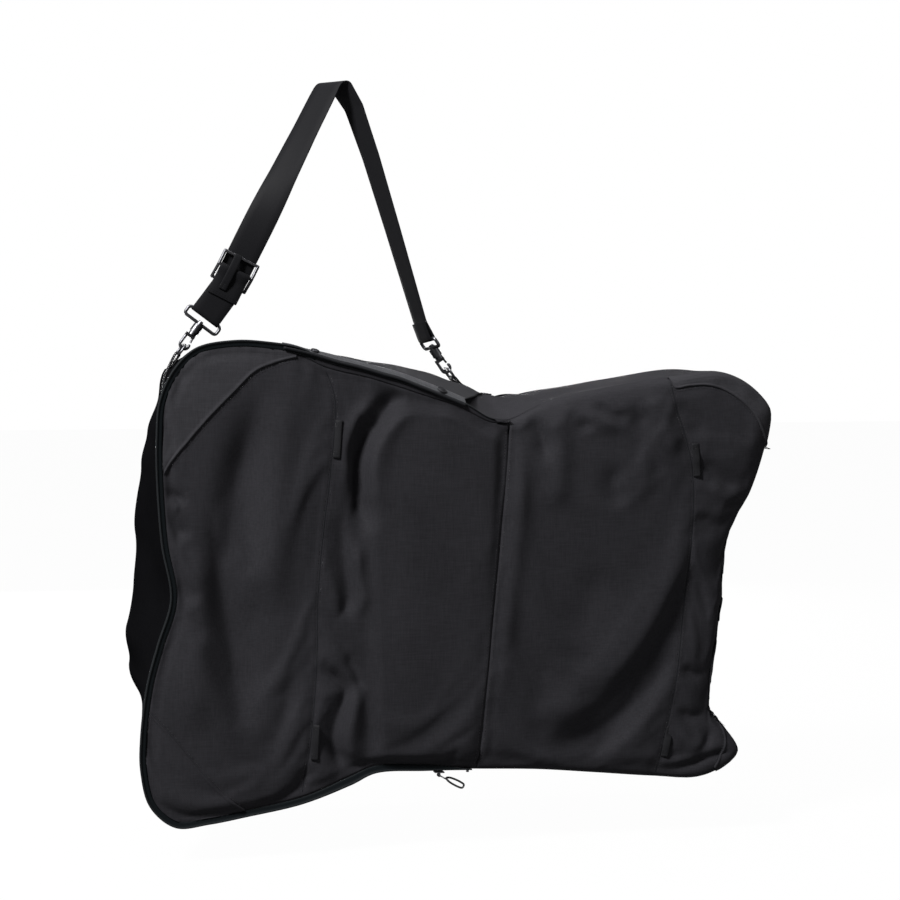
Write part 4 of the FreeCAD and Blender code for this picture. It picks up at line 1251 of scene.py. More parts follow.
# --------------------------------------------------------------- bag pieces
@dataclass
class BagBody:
    """Right part of the front with the gusset behind it, and the back."""

    shape: BagShape
    finishes: Finishes
    cloth: float = 1.3

    def build(self, patches: dict[str, np.ndarray]) -> bpy.types.Object:
        """Makes the body and the back.

        Args:
            patches: sheets of the four panels.

        Returns:
            The body, for other pieces to lie on.
        """
        shape = self.shape
        right = shape.front_sheet(patches["right"], False)
        end = shape.front_sheet(patches["end"], False)
        sheet = np.concatenate([right[:, :-1], end], axis=1)
        sheet = Slump().wrinkle(sheet, [right.shape[1] - 1])
        rows, columns = sheet.shape[:2]
        points = [sheet.reshape(-1, 3)]
        faces = grid_faces(rows, columns)
        count = len(shape.loop)
        start = rows * columns
        for k in range(shape.depth_rows + 1):
            points.append(shape.ring(k / shape.depth_rows))
        faces += grid_faces(shape.depth_rows + 1, count, True, start)
        body = new_piece("bag_body", np.vstack(points), faces)
        depth = np.zeros(len(body.data.vertices))
        depth[start:] = np.repeat(np.linspace(0.0, 1.0, shape.depth_rows + 1), count)
        body.data.attributes.new("depth", "FLOAT", "POINT").data.foreach_set("value", depth)
        self.close_edges(body)
        apply(body, "SOLIDIFY", thickness=self.cloth * MM, offset=-1.0)
        settle(body, "bag", self.finishes.shell,
               ["top_gusset", "bottom_gusset", "left_gusset", "right_gusset",
                "front_panel_right", "front_panel_end"])
        self.paint_gusset_shade(body)
        self.back(count)
        return body

    @staticmethod
    def close_edges(body: bpy.types.Object) -> None:
        """Joins the front to the gusset and turns every face outwards."""
        pick(body)
        bpy.ops.object.mode_set(mode="EDIT")
        bpy.ops.mesh.select_all(action="SELECT")
        bpy.ops.mesh.remove_doubles(threshold=0.0004)
        bpy.ops.mesh.normals_make_consistent(inside=False)
        bpy.ops.object.mode_set(mode="OBJECT")
        body.select_set(False)

    def paint_gusset_shade(self, body: bpy.types.Object) -> None:
        """Gives the gusset's left and rear faces the dark cloth, whose darkness is partly
        painted shade.
        """
        body.data.materials.append(self.finishes.gusset)
        centres = np.array([face.center for face in body.data.polygons]) / MM
        mark = body.data.attributes["depth"]
        depth = np.zeros(len(body.data.vertices))
        mark.data.foreach_get("value", depth)
        share = np.array([depth[list(face.vertices)].mean() for face in body.data.polygons])
        body.data.attributes.remove(mark)
        # painted shade: left of LEFT_END from just behind the front, and past DARK_SHARE of the
        # depth elsewhere, faces get the very dark cloth
        left = (centres[:, 0] < LEFT_END) & (centres[:, 1] > FRONT + LEFT_FRONT)
        dark = left | (share > DARK_SHARE)
        body.data.polygons.foreach_set("material_index", dark.astype(int))

    def back(self, count: int) -> None:
        """Back panel inside its binding."""
        shape = self.shape
        flat = shape.ring(1.0)[:, [0, 2]]
        loop = np.vstack([flat, flat[:1]])
        rows = shape.rows
        wide = (count - 2 * rows) // 2
        sheet = coons(loop[rows:rows + wide + 1:2], loop[2 * rows + wide:][::-1][::2],
                      loop[:rows + 1][::-1][::2], loop[rows + wide:2 * rows + wide + 1:2])
        high, long = sheet.shape[:2]
        rise = np.outer(np.sin(np.linspace(0, np.pi, high)), np.sin(np.linspace(0, np.pi, long)))
        rise = smooth(rise * 4.0)
        y = BACK - 0.4 + rise * (3.0 + 1.6 * ripple(sheet[..., 0], sheet[..., 1], 5,
                                                    (90.0, 200.0)))
        points = np.stack([sheet[..., 0], y, sheet[..., 1]], -1).reshape(-1, 3)
        faces = grid_faces(high, long)
        piece = new_piece("back_cloth", points, faces)
        face_towards(piece, 1, 1.0)
        apply(piece, "SOLIDIFY", thickness=self.cloth * MM, offset=-1.0)
        # the back panel takes the same dark cloth with its painted shade
        settle(piece, "bag", self.finishes.gusset, ["back_panel"])
        binding = shape.ring(0.985)
        out = np.hstack([-shape.inward[:, :1], np.zeros((count, 1)), -shape.inward[:, 1:]])
        rear = np.tile((0.0, 1.0, 0.0), (count, 1))
        section = [(-5.0, -0.2), (-4.6, 0.9), (-3.0, 1.3), (2.2, 1.4), (3.6, 1.2), (4.6, 0.0),
                   (4.7, -1.6), (4.1, -4.2), (3.4, -4.4), (3.2, -1.2), (2.4, -0.2)]
        rim = sweep("back_binding", binding + out * 0.3, rear, out, section, closed=True)
        settle(rim, "bag", self.finishes.dark_tape, ["rear_binding"])


@dataclass
class FrontCover:
    """Left and centre panels, which open on the hinge seam."""

    shape: BagShape
    finishes: Finishes
    cloth: float = 1.6

    def build(self, patches: dict[str, np.ndarray]) -> bpy.types.Object:
        """Makes the cover.

        Args:
            patches: sheets of the four panels.

        Returns:
            The cover.
        """
        left = self.shape.front_sheet(patches["left"], True)
        centre = self.shape.front_sheet(patches["centre"], True)
        sheet = np.concatenate([left[:, :-1], centre], axis=1)
        sheet = Slump().wrinkle(sheet, [left.shape[1] - 1])
        rows, columns = sheet.shape[:2]
        cover = new_piece("front_cover", sheet.reshape(-1, 3), grid_faces(rows, columns))
        apply(cover, "SOLIDIFY", thickness=self.cloth * MM, offset=-1.0)
        settle(cover, "cover", self.finishes.shell,
               ["cover_panel_left", "cover_panel_centre"])
        return cover


@dataclass
class EdgeBand:
    """Zip tape round the opening, and the header under the flap."""

    shape: BagShape
    finishes: Finishes

    def build(self) -> None:
        """Makes the tape, the coil and the header."""
        shape = self.shape
        count = len(shape.loop)
        marks = self.marks()
        first = marks[Mark.LEFT_SEAM_HIGH]
        last = marks[Mark.HINGE_SEAM_LOW]
        numbers = np.arange(first, last + count + 1) % count
        numbers = numbers[(np.arange(len(numbers)) >= 4)]
        tape = self.band("zip_tape_band", numbers[:-2], [
            (-0.6, -6.0), (-1.0, -1.0), (-0.8, 0.9), (0.2, 1.7), (1.4, 1.3), (2.2, 0.5),
            (5.0, 0.4), (7.6, 0.2), (9.0, -0.2), (9.2, -1.6), (8.6, -2.4), (3.0, -2.2),
            (0.8, -6.0)])
        settle(tape, "bag", self.finishes.tape, ["zip_tape", "cover_zip_tape"])
        around = np.arange(marks[Mark.HINGE_SEAM_HIGH] + 6, last + count - 1) % count
        rim = self.band("zip_edge_piping", around, [
            (-1.5, -1.2), (-1.7, 0.4), (-1.2, 1.5), (-0.2, 2.1), (0.8, 2.1), (1.5, 1.5),
            (1.2, 0.8), (-0.6, -1.2)])
        settle(rim, "bag", self.finishes.piping)
        chain = self.band("zip_chain", numbers[:-2], [
            (7.0, -2.4), (7.2, -1.4), (8.8, -1.0), (10.8, -1.2), (11.2, -2.6), (10.6, -3.8),
            (8.0, -4.0)])
        settle(chain, "bag", self.finishes.coil, ["zip_coil"])
        start = marks[Mark.HINGE_SEAM_HIGH]
        header = self.band("front_header_cloth", np.arange(start, first + 8), [
            (-0.3, -7.0), (-0.5, -2.0), (0.3, -0.4), (2.0, 0.2), (5.0, 0.3), (8.0, 0.2),
            (10.5, -0.4), (10.0, -2.2), (3.0, -2.4), (0.9, -7.0)])
        settle(header, "bag", self.finishes.shell, ["front_header"])

    def marks(self) -> dict[Mark, int]:
        """Number of the edge sample at each mark."""
        made = {}
        start = 0
        for (first, _), side in self.shape.sides.items():
            made[first] = start
            start += len(side) - 1
        return made

    def band(self, name: str, numbers: np.ndarray, section: Sequence[Pair]) -> bpy.types.Object:
        """Sweeps a section along part of the edge, inwards and outwards from it.

        Args:
            name: name of the piece.
            numbers: edge samples in order.
            section: distance inwards and height above the front, mm.

        Returns:
            The piece.
        """
        loop = self.shape.loop[numbers]
        inward = self.shape.inward[numbers]
        width = np.clip(loop[:, 5] / FULL_INSET, LEAST_BAND, 1.0)[:, None]
        centres = np.stack([loop[:, 0], np.full(len(loop), FRONT), loop[:, 1]], 1)
        across = np.stack([inward[:, 0], np.zeros(len(loop)), inward[:, 1]], 1) * width
        out = np.tile((0.0, -1.0, 0.0), (len(loop), 1))
        return sweep(name, centres, across, out, section)


@dataclass
class CornerPatch:
    """Second layer of cloth sewn over a corner of the front."""

    name: str
    body: str
    node: str
    seam: Sequence[Pair]
    edge: Callable[[], np.ndarray]
    reach: float = 1.0        # share of the way to the edge that it covers
    lift: float = 1.3

    def build(self, skin: Skin, finish: bpy.types.Material) -> np.ndarray:
        """Makes the patch with its turned edge.

        Args:
            skin: the faces under it.
            finish: its cloth.

        Returns:
            The seam line, rows of x and z.
        """
        count = 90
        seam = resample(spline(self.seam), count)
        edge = resample(self.edge(), count)
        if np.linalg.norm(edge[0] - seam[0]) > np.linalg.norm(edge[-1] - seam[0]):
            edge = edge[::-1]
        gap = np.maximum(np.linalg.norm(edge - seam, axis=1), 1e-3)
        profile = [(0.0, -0.8), (0.05, self.lift), (0.6, self.lift + 1.0),
                   (1.7, self.lift + 1.2), (3.0, self.lift + 0.4)]
        rows = []
        for off, lift in profile:
            part = np.minimum(off / gap, 0.5)[:, None]
            rows.append((seam * (1 - part) + edge * part, lift))
        for k in range(1, 25):
            part = np.minimum(3.0 / gap, 0.5)[:, None]
            part = part + (self.reach - part) * (k / 24.0)
            rows.append((seam * (1 - part) + edge * part, self.lift))
        points = []
        for place, lift in rows:
            spots, normals = skin.front(place)
            points.append(spots + normals * lift)
        piece = new_piece(self.name, np.vstack(points), grid_faces(len(rows), count + 1))
        BagBody.close_edges(piece)
        face_towards(piece, 1, -1.0)
        settle(piece, self.body, finish, [self.node])
        return seam


@dataclass
class Stitching:
    """Rows of stitches, gathered into one piece for each body."""

    skin: Skin
    finish: bpy.types.Material
    pitch: float = 3.6
    size: Triple = (2.5, 0.62, 0.42)      # length, width, height of a stitch
    points: dict = field(default_factory=dict)
    faces: dict = field(default_factory=dict)

    def add(self, body: str, centres: np.ndarray, across: np.ndarray,
            out: np.ndarray) -> None:
        """Adds one row along a line.

        Args:
            body: body that carries it.
            centres: line of the row, mm.
            across: directions across it.
            out: directions out of the cloth.
        """
        total = length_of(centres)
        count = max(2, int(total / self.pitch))
        table = resample(np.hstack([centres, across, out]), count)
        points = self.points.setdefault(body, [])
        faces = self.faces.setdefault(body, [])
        long, wide, high = (s / 2.0 for s in self.size)
        for row in table[:-1]:
            place, side, rise = row[:3], row[3:6], row[6:9]
            travel = np.cross(side, rise)
            start = len(points)
            points.append(place - travel * long - rise * high * 0.6)
            for share in (-0.55, 0.55):
                for a, b in ((1, 0), (0, 1), (-1, 0), (0, -1)):
                    points.append(place + travel * long * share + side * wide * a
                                  + rise * high * b)
            points.append(place + travel * long - rise * high * 0.6)
            for k in range(4):
                d = (k + 1) % 4
                faces.append([start, start + 1 + d, start + 1 + k])
                faces.append([start + 1 + k, start + 1 + d, start + 5 + d, start + 5 + k])
                faces.append([start + 5 + k, start + 5 + d, start + 9])

    def across(self, body: str, ribbon: Sequence[np.ndarray], number: int, width: float,
               lift: float, stops: tuple[float, float, int] = (-0.44, 0.44, 12),
               face: float = 1.0) -> None:
        """Adds a row across a ribbon at one of its sections.

        Args:
            body: body that carries it.
            ribbon: middle line, directions across it and directions out of it.
            number: number of the section.
            width: width of the ribbon, mm.
            lift: height above the ribbon's middle, mm.
            stops: shares of the width where it starts and ends, and its points.
            face: 1 on the ribbon's outer face, -1 on its inner face.
        """
        centre, side, out = (rows[number] for rows in ribbon)
        share = np.linspace(*stops)[:, None] * width
        self.add(body, centre + side * share + out * face * lift,
                 np.tile(np.cross(side, out), (stops[2], 1)),
                 np.tile(out * face, (stops[2], 1)))

    def row(self, body: str, path: np.ndarray, shift: float = 0.0, lift: float = 0.1) -> None:
        """Adds a row on the front beside a line.

        Args:
            body: body that carries it.
            path: rows of x and z, mm.
            shift: distance to the left of the line's travel.
            lift: height above the faces.
        """
        travel = unit(np.gradient(path, axis=0))
        side = np.stack([-travel[:, 1], travel[:, 0]], 1)
        self.add(body, *laid_line(self.skin, path + side * shift, lift))

    def build(self) -> None:
        """Makes one piece for each body."""
        for body, points in self.points.items():
            piece = new_piece(f"{body}_stitching", np.array(points), self.faces[body])
            BagBody.close_edges(piece)
            settle(piece, body, self.finish)


@dataclass
class Studio:
    """Floor, light and camera."""

    turn: float = -14.0       # camera about the bag, degrees
    rise: float = 3.0
    reach: float = 3.0        # m
    target: Triple = (0.151, 0.0, -0.4677)
    lens: float = 93.0
    floor_level: float = -0.955

    def build(self) -> None:
        """Sets the scene round the bag."""
        self.floor()
        self.world()
        self.lamp("key_lamp", (-2.85, -2.26, 2.8), (1.0, 1.0), 400.0)
        self.lamp("back_lamp", (0.4, 2.8, -0.45), (1.6, 0.8), 60.0)
        self.lamp("side_lamp", (2.2, -1.6, 0.9), (0.7, 1.2), 9.0)
        self.lamp("top_lamp", (0.25, 0.3, 1.7), (1.4, 1.0), 30.0)
        self.camera()
        bpy.context.scene.view_settings.view_transform = "Standard"

    def floor(self) -> None:
        """Wide plain floor."""
        half = 12.0 / MM
        level = self.floor_level / MM
        corners = np.array([(-half, -half, level), (half, -half, level),
                            (half, half, level), (-half, half, level)])
        piece = new_piece("studio_floor", corners, [[0, 1, 2, 3]])
        dress(piece, StageFinish("floor_paint", (0.2, 0.2, 0.2), 0.93).make())

    @staticmethod
    def world() -> None:
        """Even dim sky, which only the camera sees as white."""
        world = bpy.data.worlds.new("studio_sky")
        bpy.context.scene.world = world
        world.use_nodes = True
        tree = world.node_tree
        tree.nodes.clear()
        output = tree.nodes.new("ShaderNodeOutputWorld")
        dim = tree.nodes.new("ShaderNodeBackground")
        dim.inputs["Color"].default_value = (1.0, 1.0, 1.0, 1.0)
        dim.inputs["Strength"].default_value = 0.03
        white = tree.nodes.new("ShaderNodeBackground")
        white.inputs["Color"].default_value = (1.0, 1.0, 1.0, 1.0)
        path = tree.nodes.new("ShaderNodeLightPath")
        blend = tree.nodes.new("ShaderNodeMixShader")
        tree.links.new(path.outputs["Is Camera Ray"], blend.inputs[0])
        tree.links.new(dim.outputs[0], blend.inputs[1])
        tree.links.new(white.outputs[0], blend.inputs[2])
        tree.links.new(blend.outputs[0], output.inputs["Surface"])

    def lamp(self, name: str, place: Triple, size: Pair, power: float) -> None:
        """Area lamp that faces the bag.

        Args:
            name: its name.
            place: where it stands, m.
            size: its width and height, m.
            power: watts.
        """
        light = bpy.data.lights.new(name, "AREA")
        light.shape = "RECTANGLE"
        light.size, light.size_y = size
        light.energy = power
        made = bpy.data.objects.new(name, light)
        made.location = place
        aim = Vector(self.target) - Vector(place)
        made.rotation_euler = aim.to_track_quat("-Z", "Y").to_euler()
        bpy.context.scene.collection.objects.link(made)

    def camera(self) -> None:
        """Camera at the studied angle."""
        turn, rise = math.radians(self.turn), math.radians(self.rise)
        back = Vector((math.sin(turn) * math.cos(rise), -math.cos(turn) * math.cos(rise),
                       math.sin(rise)))
        data = bpy.data.cameras.new("view_camera")
        data.lens = self.lens
        data.sensor_width = 36.0
        made = bpy.data.objects.new("view_camera", data)
        made.location = Vector(self.target) + back * self.reach
        made.rotation_euler = (-back).to_track_quat("-Z", "Y").to_euler()
        bpy.context.scene.collection.objects.link(made)
        bpy.context.scene.camera = made


def wrapped(centre: Triple, start: Triple, over: Triple, radius: float,
            count: int = 6) -> list[list[float]]:
    """Half turn of webbing round a bar.

    Args:
        centre: middle of the bar, mm.
        start: direction from the bar to where the turn starts.
        over: direction to its middle.
        radius: from the bar's middle to the webbing's middle, mm.
        count: number of steps.

    Returns:
        Points between the two ends, which are left out.
    """
    made = []
    for k in range(1, count):
        turn = math.pi * k / count
        made.append([c + radius * (math.cos(turn) * s + math.sin(turn) * o)
                     for c, s, o in zip(centre, start, over)])
    return made


def lay_ribbon(name: str, path: Sequence[Sequence[float]], across: Sequence[Sequence[float]],
               width: float, thickness: float, step: float = 1.6, cup: float = 0.0,
               soften: int = 3, skewed: bool = False
               ) -> tuple[bpy.types.Object, np.ndarray, np.ndarray, np.ndarray]:
    """Ribbon of webbing along points, each with the direction of its width.

    Args:
        name: name of the piece.
        path: middle of the ribbon, mm.
        across: direction of its width at each point.
        width: its width, mm.
        thickness: its thickness, mm.
        step: distance between sections, mm.
        cup: how far the middle of its faces stands out, mm.
        soften: how much its bends and twists are eased.
        skewed: whether its width may lean along its length.

    Returns:
        The piece, its middle line, and the directions across it and out of it.
    """
    line = np.hstack([np.array(path, float), np.array(across, float)])
    line = resample(line, max(8, int(length_of(line[:, :3]) / step)))
    ends = line[[0, -1]].copy()
    for _ in range(soften):
        line[1:-1] = (line[:-2] + line[1:-1] * 2 + line[2:]) / 4
    for _ in range(soften * 12):
        line[1:-1, 3:] = (line[:-2, 3:] + line[1:-1, 3:] * 2 + line[2:, 3:]) / 4
    line[[0, -1]] = ends
    centres = line[:, :3]
    travel = unit(np.gradient(centres, axis=0))
    side = line[:, 3:]
    if not skewed:
        side = side - travel * (side * travel).sum(1, keepdims=True)
    side = unit(side)
    out = unit(np.cross(travel, side))
    piece = sweep(name, centres, side, out, flat_section(width, thickness, cup))
    return piece, centres, side, out


@dataclass
class Strap:
    """Carrying strap from the left eye over its crest to the right eye."""

    finishes: Finishes
    stitching: Stitching
    width: float = STRAP_WIDTH
    thickness: float = STRAP_THICKNESS
    bar_radius: float = 2.95  # from an eye's bar to the middle of the webbing
    left_bar: Triple = (-165.0, 0.0, -296.0)
    right_bar: Triple = (120.8, 0.0, -325.7)
    left_pull: Triple = (-0.6, 0.0, -0.8)
    right_pull: Triple = (0.56, 0.0, -0.8285)

    def front_run(self) -> list[tuple[Triple, Triple]]:
        """Front layer, from the slider down to the left eye."""
        limb = (0.89, 0.0, -0.45)
        return [((-129.1, -1.95, -242.48), limb), ((-138.0, -1.95, -260.0), (0.85, 0.0, -0.53)),
                ((-154.8, -2.1, -282.4), (0.8, 0.0, -0.6)),
                ((-163.74, -2.95, -294.32), (0.8, 0.0, -0.6)),
                ((-165.0, -2.95, -296.0), (0.8, 0.0, -0.6))]

    def back_run(self) -> list[tuple[Triple, Triple]]:
        """Back layer up the left limb, over the crest and down the right limb."""
        return [((-165.0, 2.95, -296.0), (0.8, 0.0, -0.6)),
                ((-163.74, 2.95, -294.32), (0.8, 0.0, -0.6)),
                ((-154.8, 0.6, -282.4), (0.8, 0.0, -0.6)),
                ((-138.0, 0.0, -260.0), (0.85, 0.0, -0.53)),
                ((-116.0, 0.0, -216.7), (0.89, 0.0, -0.45)),
                ((-95.25, 0.0, -175.91), (0.875, -0.18, -0.445)),
                ((-82.3, 0.0, -150.43), (0.82, -0.38, -0.42)),
                ((-66.76, 0.0, -119.85), (0.71, -0.6, -0.36)),
                ((-36.96, 0.0, -61.25), (0.6, -0.74, -0.3)),
                ((-15.0, 0.0, -18.05), (0.62, -0.76, -0.2)),
                ((-8.46, 0.0, -5.19), (0.64, -0.76, -0.08)),
                ((-5.58, 0.0, -1.81), (0.64, -0.77, 0.0)),
                ((-1.98, 0.0, -0.21), (0.64, -0.77, 0.02)),
                ((1.98, 0.0, -0.21), (0.63, -0.78, 0.03)),
                ((5.85, 0.0, -2.01), (0.6, -0.8, 0.05)),
                ((8.61, 0.0, -5.49), (0.52, -0.85, 0.1)),
                ((25.3, 0.0, -31.4), (0.38, -0.92, 0.14)),
                ((47.2, 0.0, -93.4), (0.32, -0.94, 0.11)),
                ((75.2, 0.0, -183.8), (0.26, -0.96, 0.08)),
                ((111.3, 0.0, -302.8), (0.18, -0.98, 0.06)),
                ((122.02, 0.56, -322.36), (0.16, -0.98, 0.11)),
                ((123.2, 0.56, -324.1), (0.16, -0.98, 0.11))]

    def build(self) -> None:
        """Makes the strap and its sewn right end."""
        front, back = self.front_run(), self.back_run()
        level = (0.8, 0.0, -0.6)
        last = (0.16, -0.98, 0.11)
        left_turn = wrapped(self.left_bar, (0.0, -1.0, 0.0), self.left_pull, self.bar_radius)
        right_turn = wrapped(self.right_bar, (0.81, 0.19, 0.54), self.right_pull,
                             self.bar_radius)
        hem = [(118.4, -0.56, -327.34), (117.23, -0.56, -325.6), (109.28, 0.49, -304.17)]
        path = [p for p, _ in front] + left_turn + [p for p, _ in back] + right_turn + hem
        across = ([a for _, a in front] + [level] * len(left_turn) + [a for _, a in back]
                  + [last] * (len(right_turn) + len(hem)))
        piece, centres, side, out = lay_ribbon("carrying_strap", path, across, self.width,
                                               self.thickness, skewed=True)
        settle(piece, "strap", self.finishes.webbing,
               ["strap_webbing", "strap_lower_run", "strap_hem_right"])
        for number in (-6, -8):
            self.stitching.across("strap", (centres, side, out), number, self.width,
                                  self.thickness / 2 + 0.15)


@dataclass
class Adjuster:
    """Sewn end round the slider's middle bar, and its pull tab."""

    finishes: Finishes
    stitching: Stitching
    limb: Triple = (0.4532, 0.0, 0.8914)
    across: Triple = (0.8914, 0.0, -0.4532)
    middle_bar: Triple = (-127.58, -4.8, -239.5)
    top_bar: Triple = (-127.44, -4.4, -219.37)
    tab_width: float = 10.0
    tab_shift: float = 4.0    # how far the pull tab lies to the right of the middle, mm

    def build(self) -> None:
        """Makes the hem and the tab."""
        turn = wrapped(self.middle_bar, (0.0, 1.0, 0.0), self.limb, 2.85)
        path = ([(-128.94, -1.95, -242.17), (-127.58, -1.95, -239.5)] + turn
                + [(-127.58, -7.65, -239.5), (-128.48, -7.65, -241.28),
                   (-133.02, -4.3, -250.19), (-144.8, -4.0, -273.37)])
        hem, centres, side, out = lay_ribbon("slider_sewn_end", path, [self.across] * len(path),
                                             STRAP_WIDTH, STRAP_THICKNESS, 1.2)
        settle(hem, "adjuster", self.finishes.webbing, ["slider_hem"])
        face = 1.0 if out[-1][1] < 0 else -1.0
        for number in (-3, -5):
            self.stitching.across("adjuster", (centres, side, out), number, STRAP_WIDTH, 0.95,
                                  face=face)
        turn = wrapped(self.top_bar, (0.0, 1.0, 0.0), self.limb, 2.65)
        path = ([(-128.3, -1.75, -221.1), (-127.44, -1.75, -219.37)] + turn
                + [(-127.44, -7.05, -219.37), (-134.69, -9.4, -233.64),
                   (-136.51, -9.5, -237.2), (-143.2, -8.2, -250.4), (-148.29, -5.85, -260.38)])
        path = [tuple(np.array(p) + np.array(self.across) * self.tab_shift) for p in path]
        tab, centres, side, out = lay_ribbon("slider_pull_end", path, [self.across] * len(path),
                                             self.tab_width, 1.2, 1.2, 0.15)
        settle(tab, "adjuster", self.finishes.webbing, ["slider_pull_tab"])
        for number in (-3, -5, -7):
            self.stitching.across("adjuster", (centres, side, out), number, self.tab_width,
                                  0.75, (-0.4, 0.4, 5), face)


@dataclass
class Anchor:
    """Webbing tab that holds a ring against the bag."""

    name: str
    node: str
    bar: Triple               # middle of the ring's bar, mm
    foot: Sequence[tuple[Triple, Triple]]     # places to look from, and the way to look
    width: float = 19.0
    thickness: float = 1.4
    turn_radius: float = 2.75

    def build(self, skin: Skin, finishes: Finishes, stitching: Stitching) -> None:
        """Makes the tab.

        Args:
            skin: faces of the bag.
            finishes: materials.
            stitching: where its stitches go.
        """
        spots = []
        for start, way in self.foot:
            place, _ = skin.probe(start, way)
            if place is not None:
                spots.append(place - unit(np.array([way]))[0] * 1.0)
        bar = np.array(self.bar)
        reach = unit((bar - spots[-1])[None])[0]
        rise = np.array((-reach[2], 0.0, reach[0]))
        if np.dot(rise, -np.array(self.foot[-1][1])) < 0:
            rise = -rise
        turn = wrapped(tuple(bar), tuple(rise), tuple(reach), self.turn_radius)
        path = ([tuple(p) for p in spots] + [tuple(bar + rise * self.turn_radius)] + turn
                + [tuple(bar - rise * self.turn_radius),
                   tuple(spots[-1] * 0.8 + bar * 0.2 - rise * 1.8)])
        piece, centres, side, out = lay_ribbon(self.name, path, [(0.0, 1.0, 0.0)] * len(path),
                                               self.width, self.thickness, 1.4)
        settle(piece, "bag", finishes.tab, [self.node])
        outward = np.array([-np.array(self.foot[0][1])])
        face = 1.0 if np.dot(out[2], unit(outward)[0]) > 0 else -1.0
        last = min(len(centres) - 1, 24)
        for share in (-0.4, 0.4):
            line = centres[1:last] + side[1:last] * share * self.width
            stitching.add("bag", line + out[1:last] * face * (self.thickness / 2 + 0.12),
                          side[1:last], out[1:last] * face)


@dataclass
class SeamTab:
    """Folded webbing tab that sits in a seam."""

    name: str
    body: str
    top: Pair
    foot: Pair
    width: float = 8.5
    thickness: float = 1.5

    def build(self, skin: Skin, finishes: Finishes, stitching: Stitching) -> bpy.types.Object:
        """Makes the tab and its bartacks.

        Args:
            skin: faces of the front.
            finishes: materials.
            stitching: where the bartacks go.

        Returns:
            The tab.
        """
        path = resample(np.array([self.top, self.foot], float), 18)
        centres, across, out = laid_line(skin, path, 0.1)
        if across[0][0] < 0:
            across = -across
        half, deep = self.width, self.thickness
        section = [(-0.4, -0.6), (-0.3, deep * 0.7), (0.8, deep), (half * 0.5, deep * 1.15),
                   (half - 0.9, deep * 1.1), (half, deep * 0.7), (half - 0.1, 0.1),
                   (half - 1.0, -0.3)]
        piece = sweep(self.name, centres, across, out, section)
        for number in (2, 3, -4, -3):
            stitching.across(self.body, (centres, across, out), number, self.width,
                             deep * 1.15 + 0.1, (0.12, 0.88, 5))
        dress(piece, finishes.tab)
        return piece


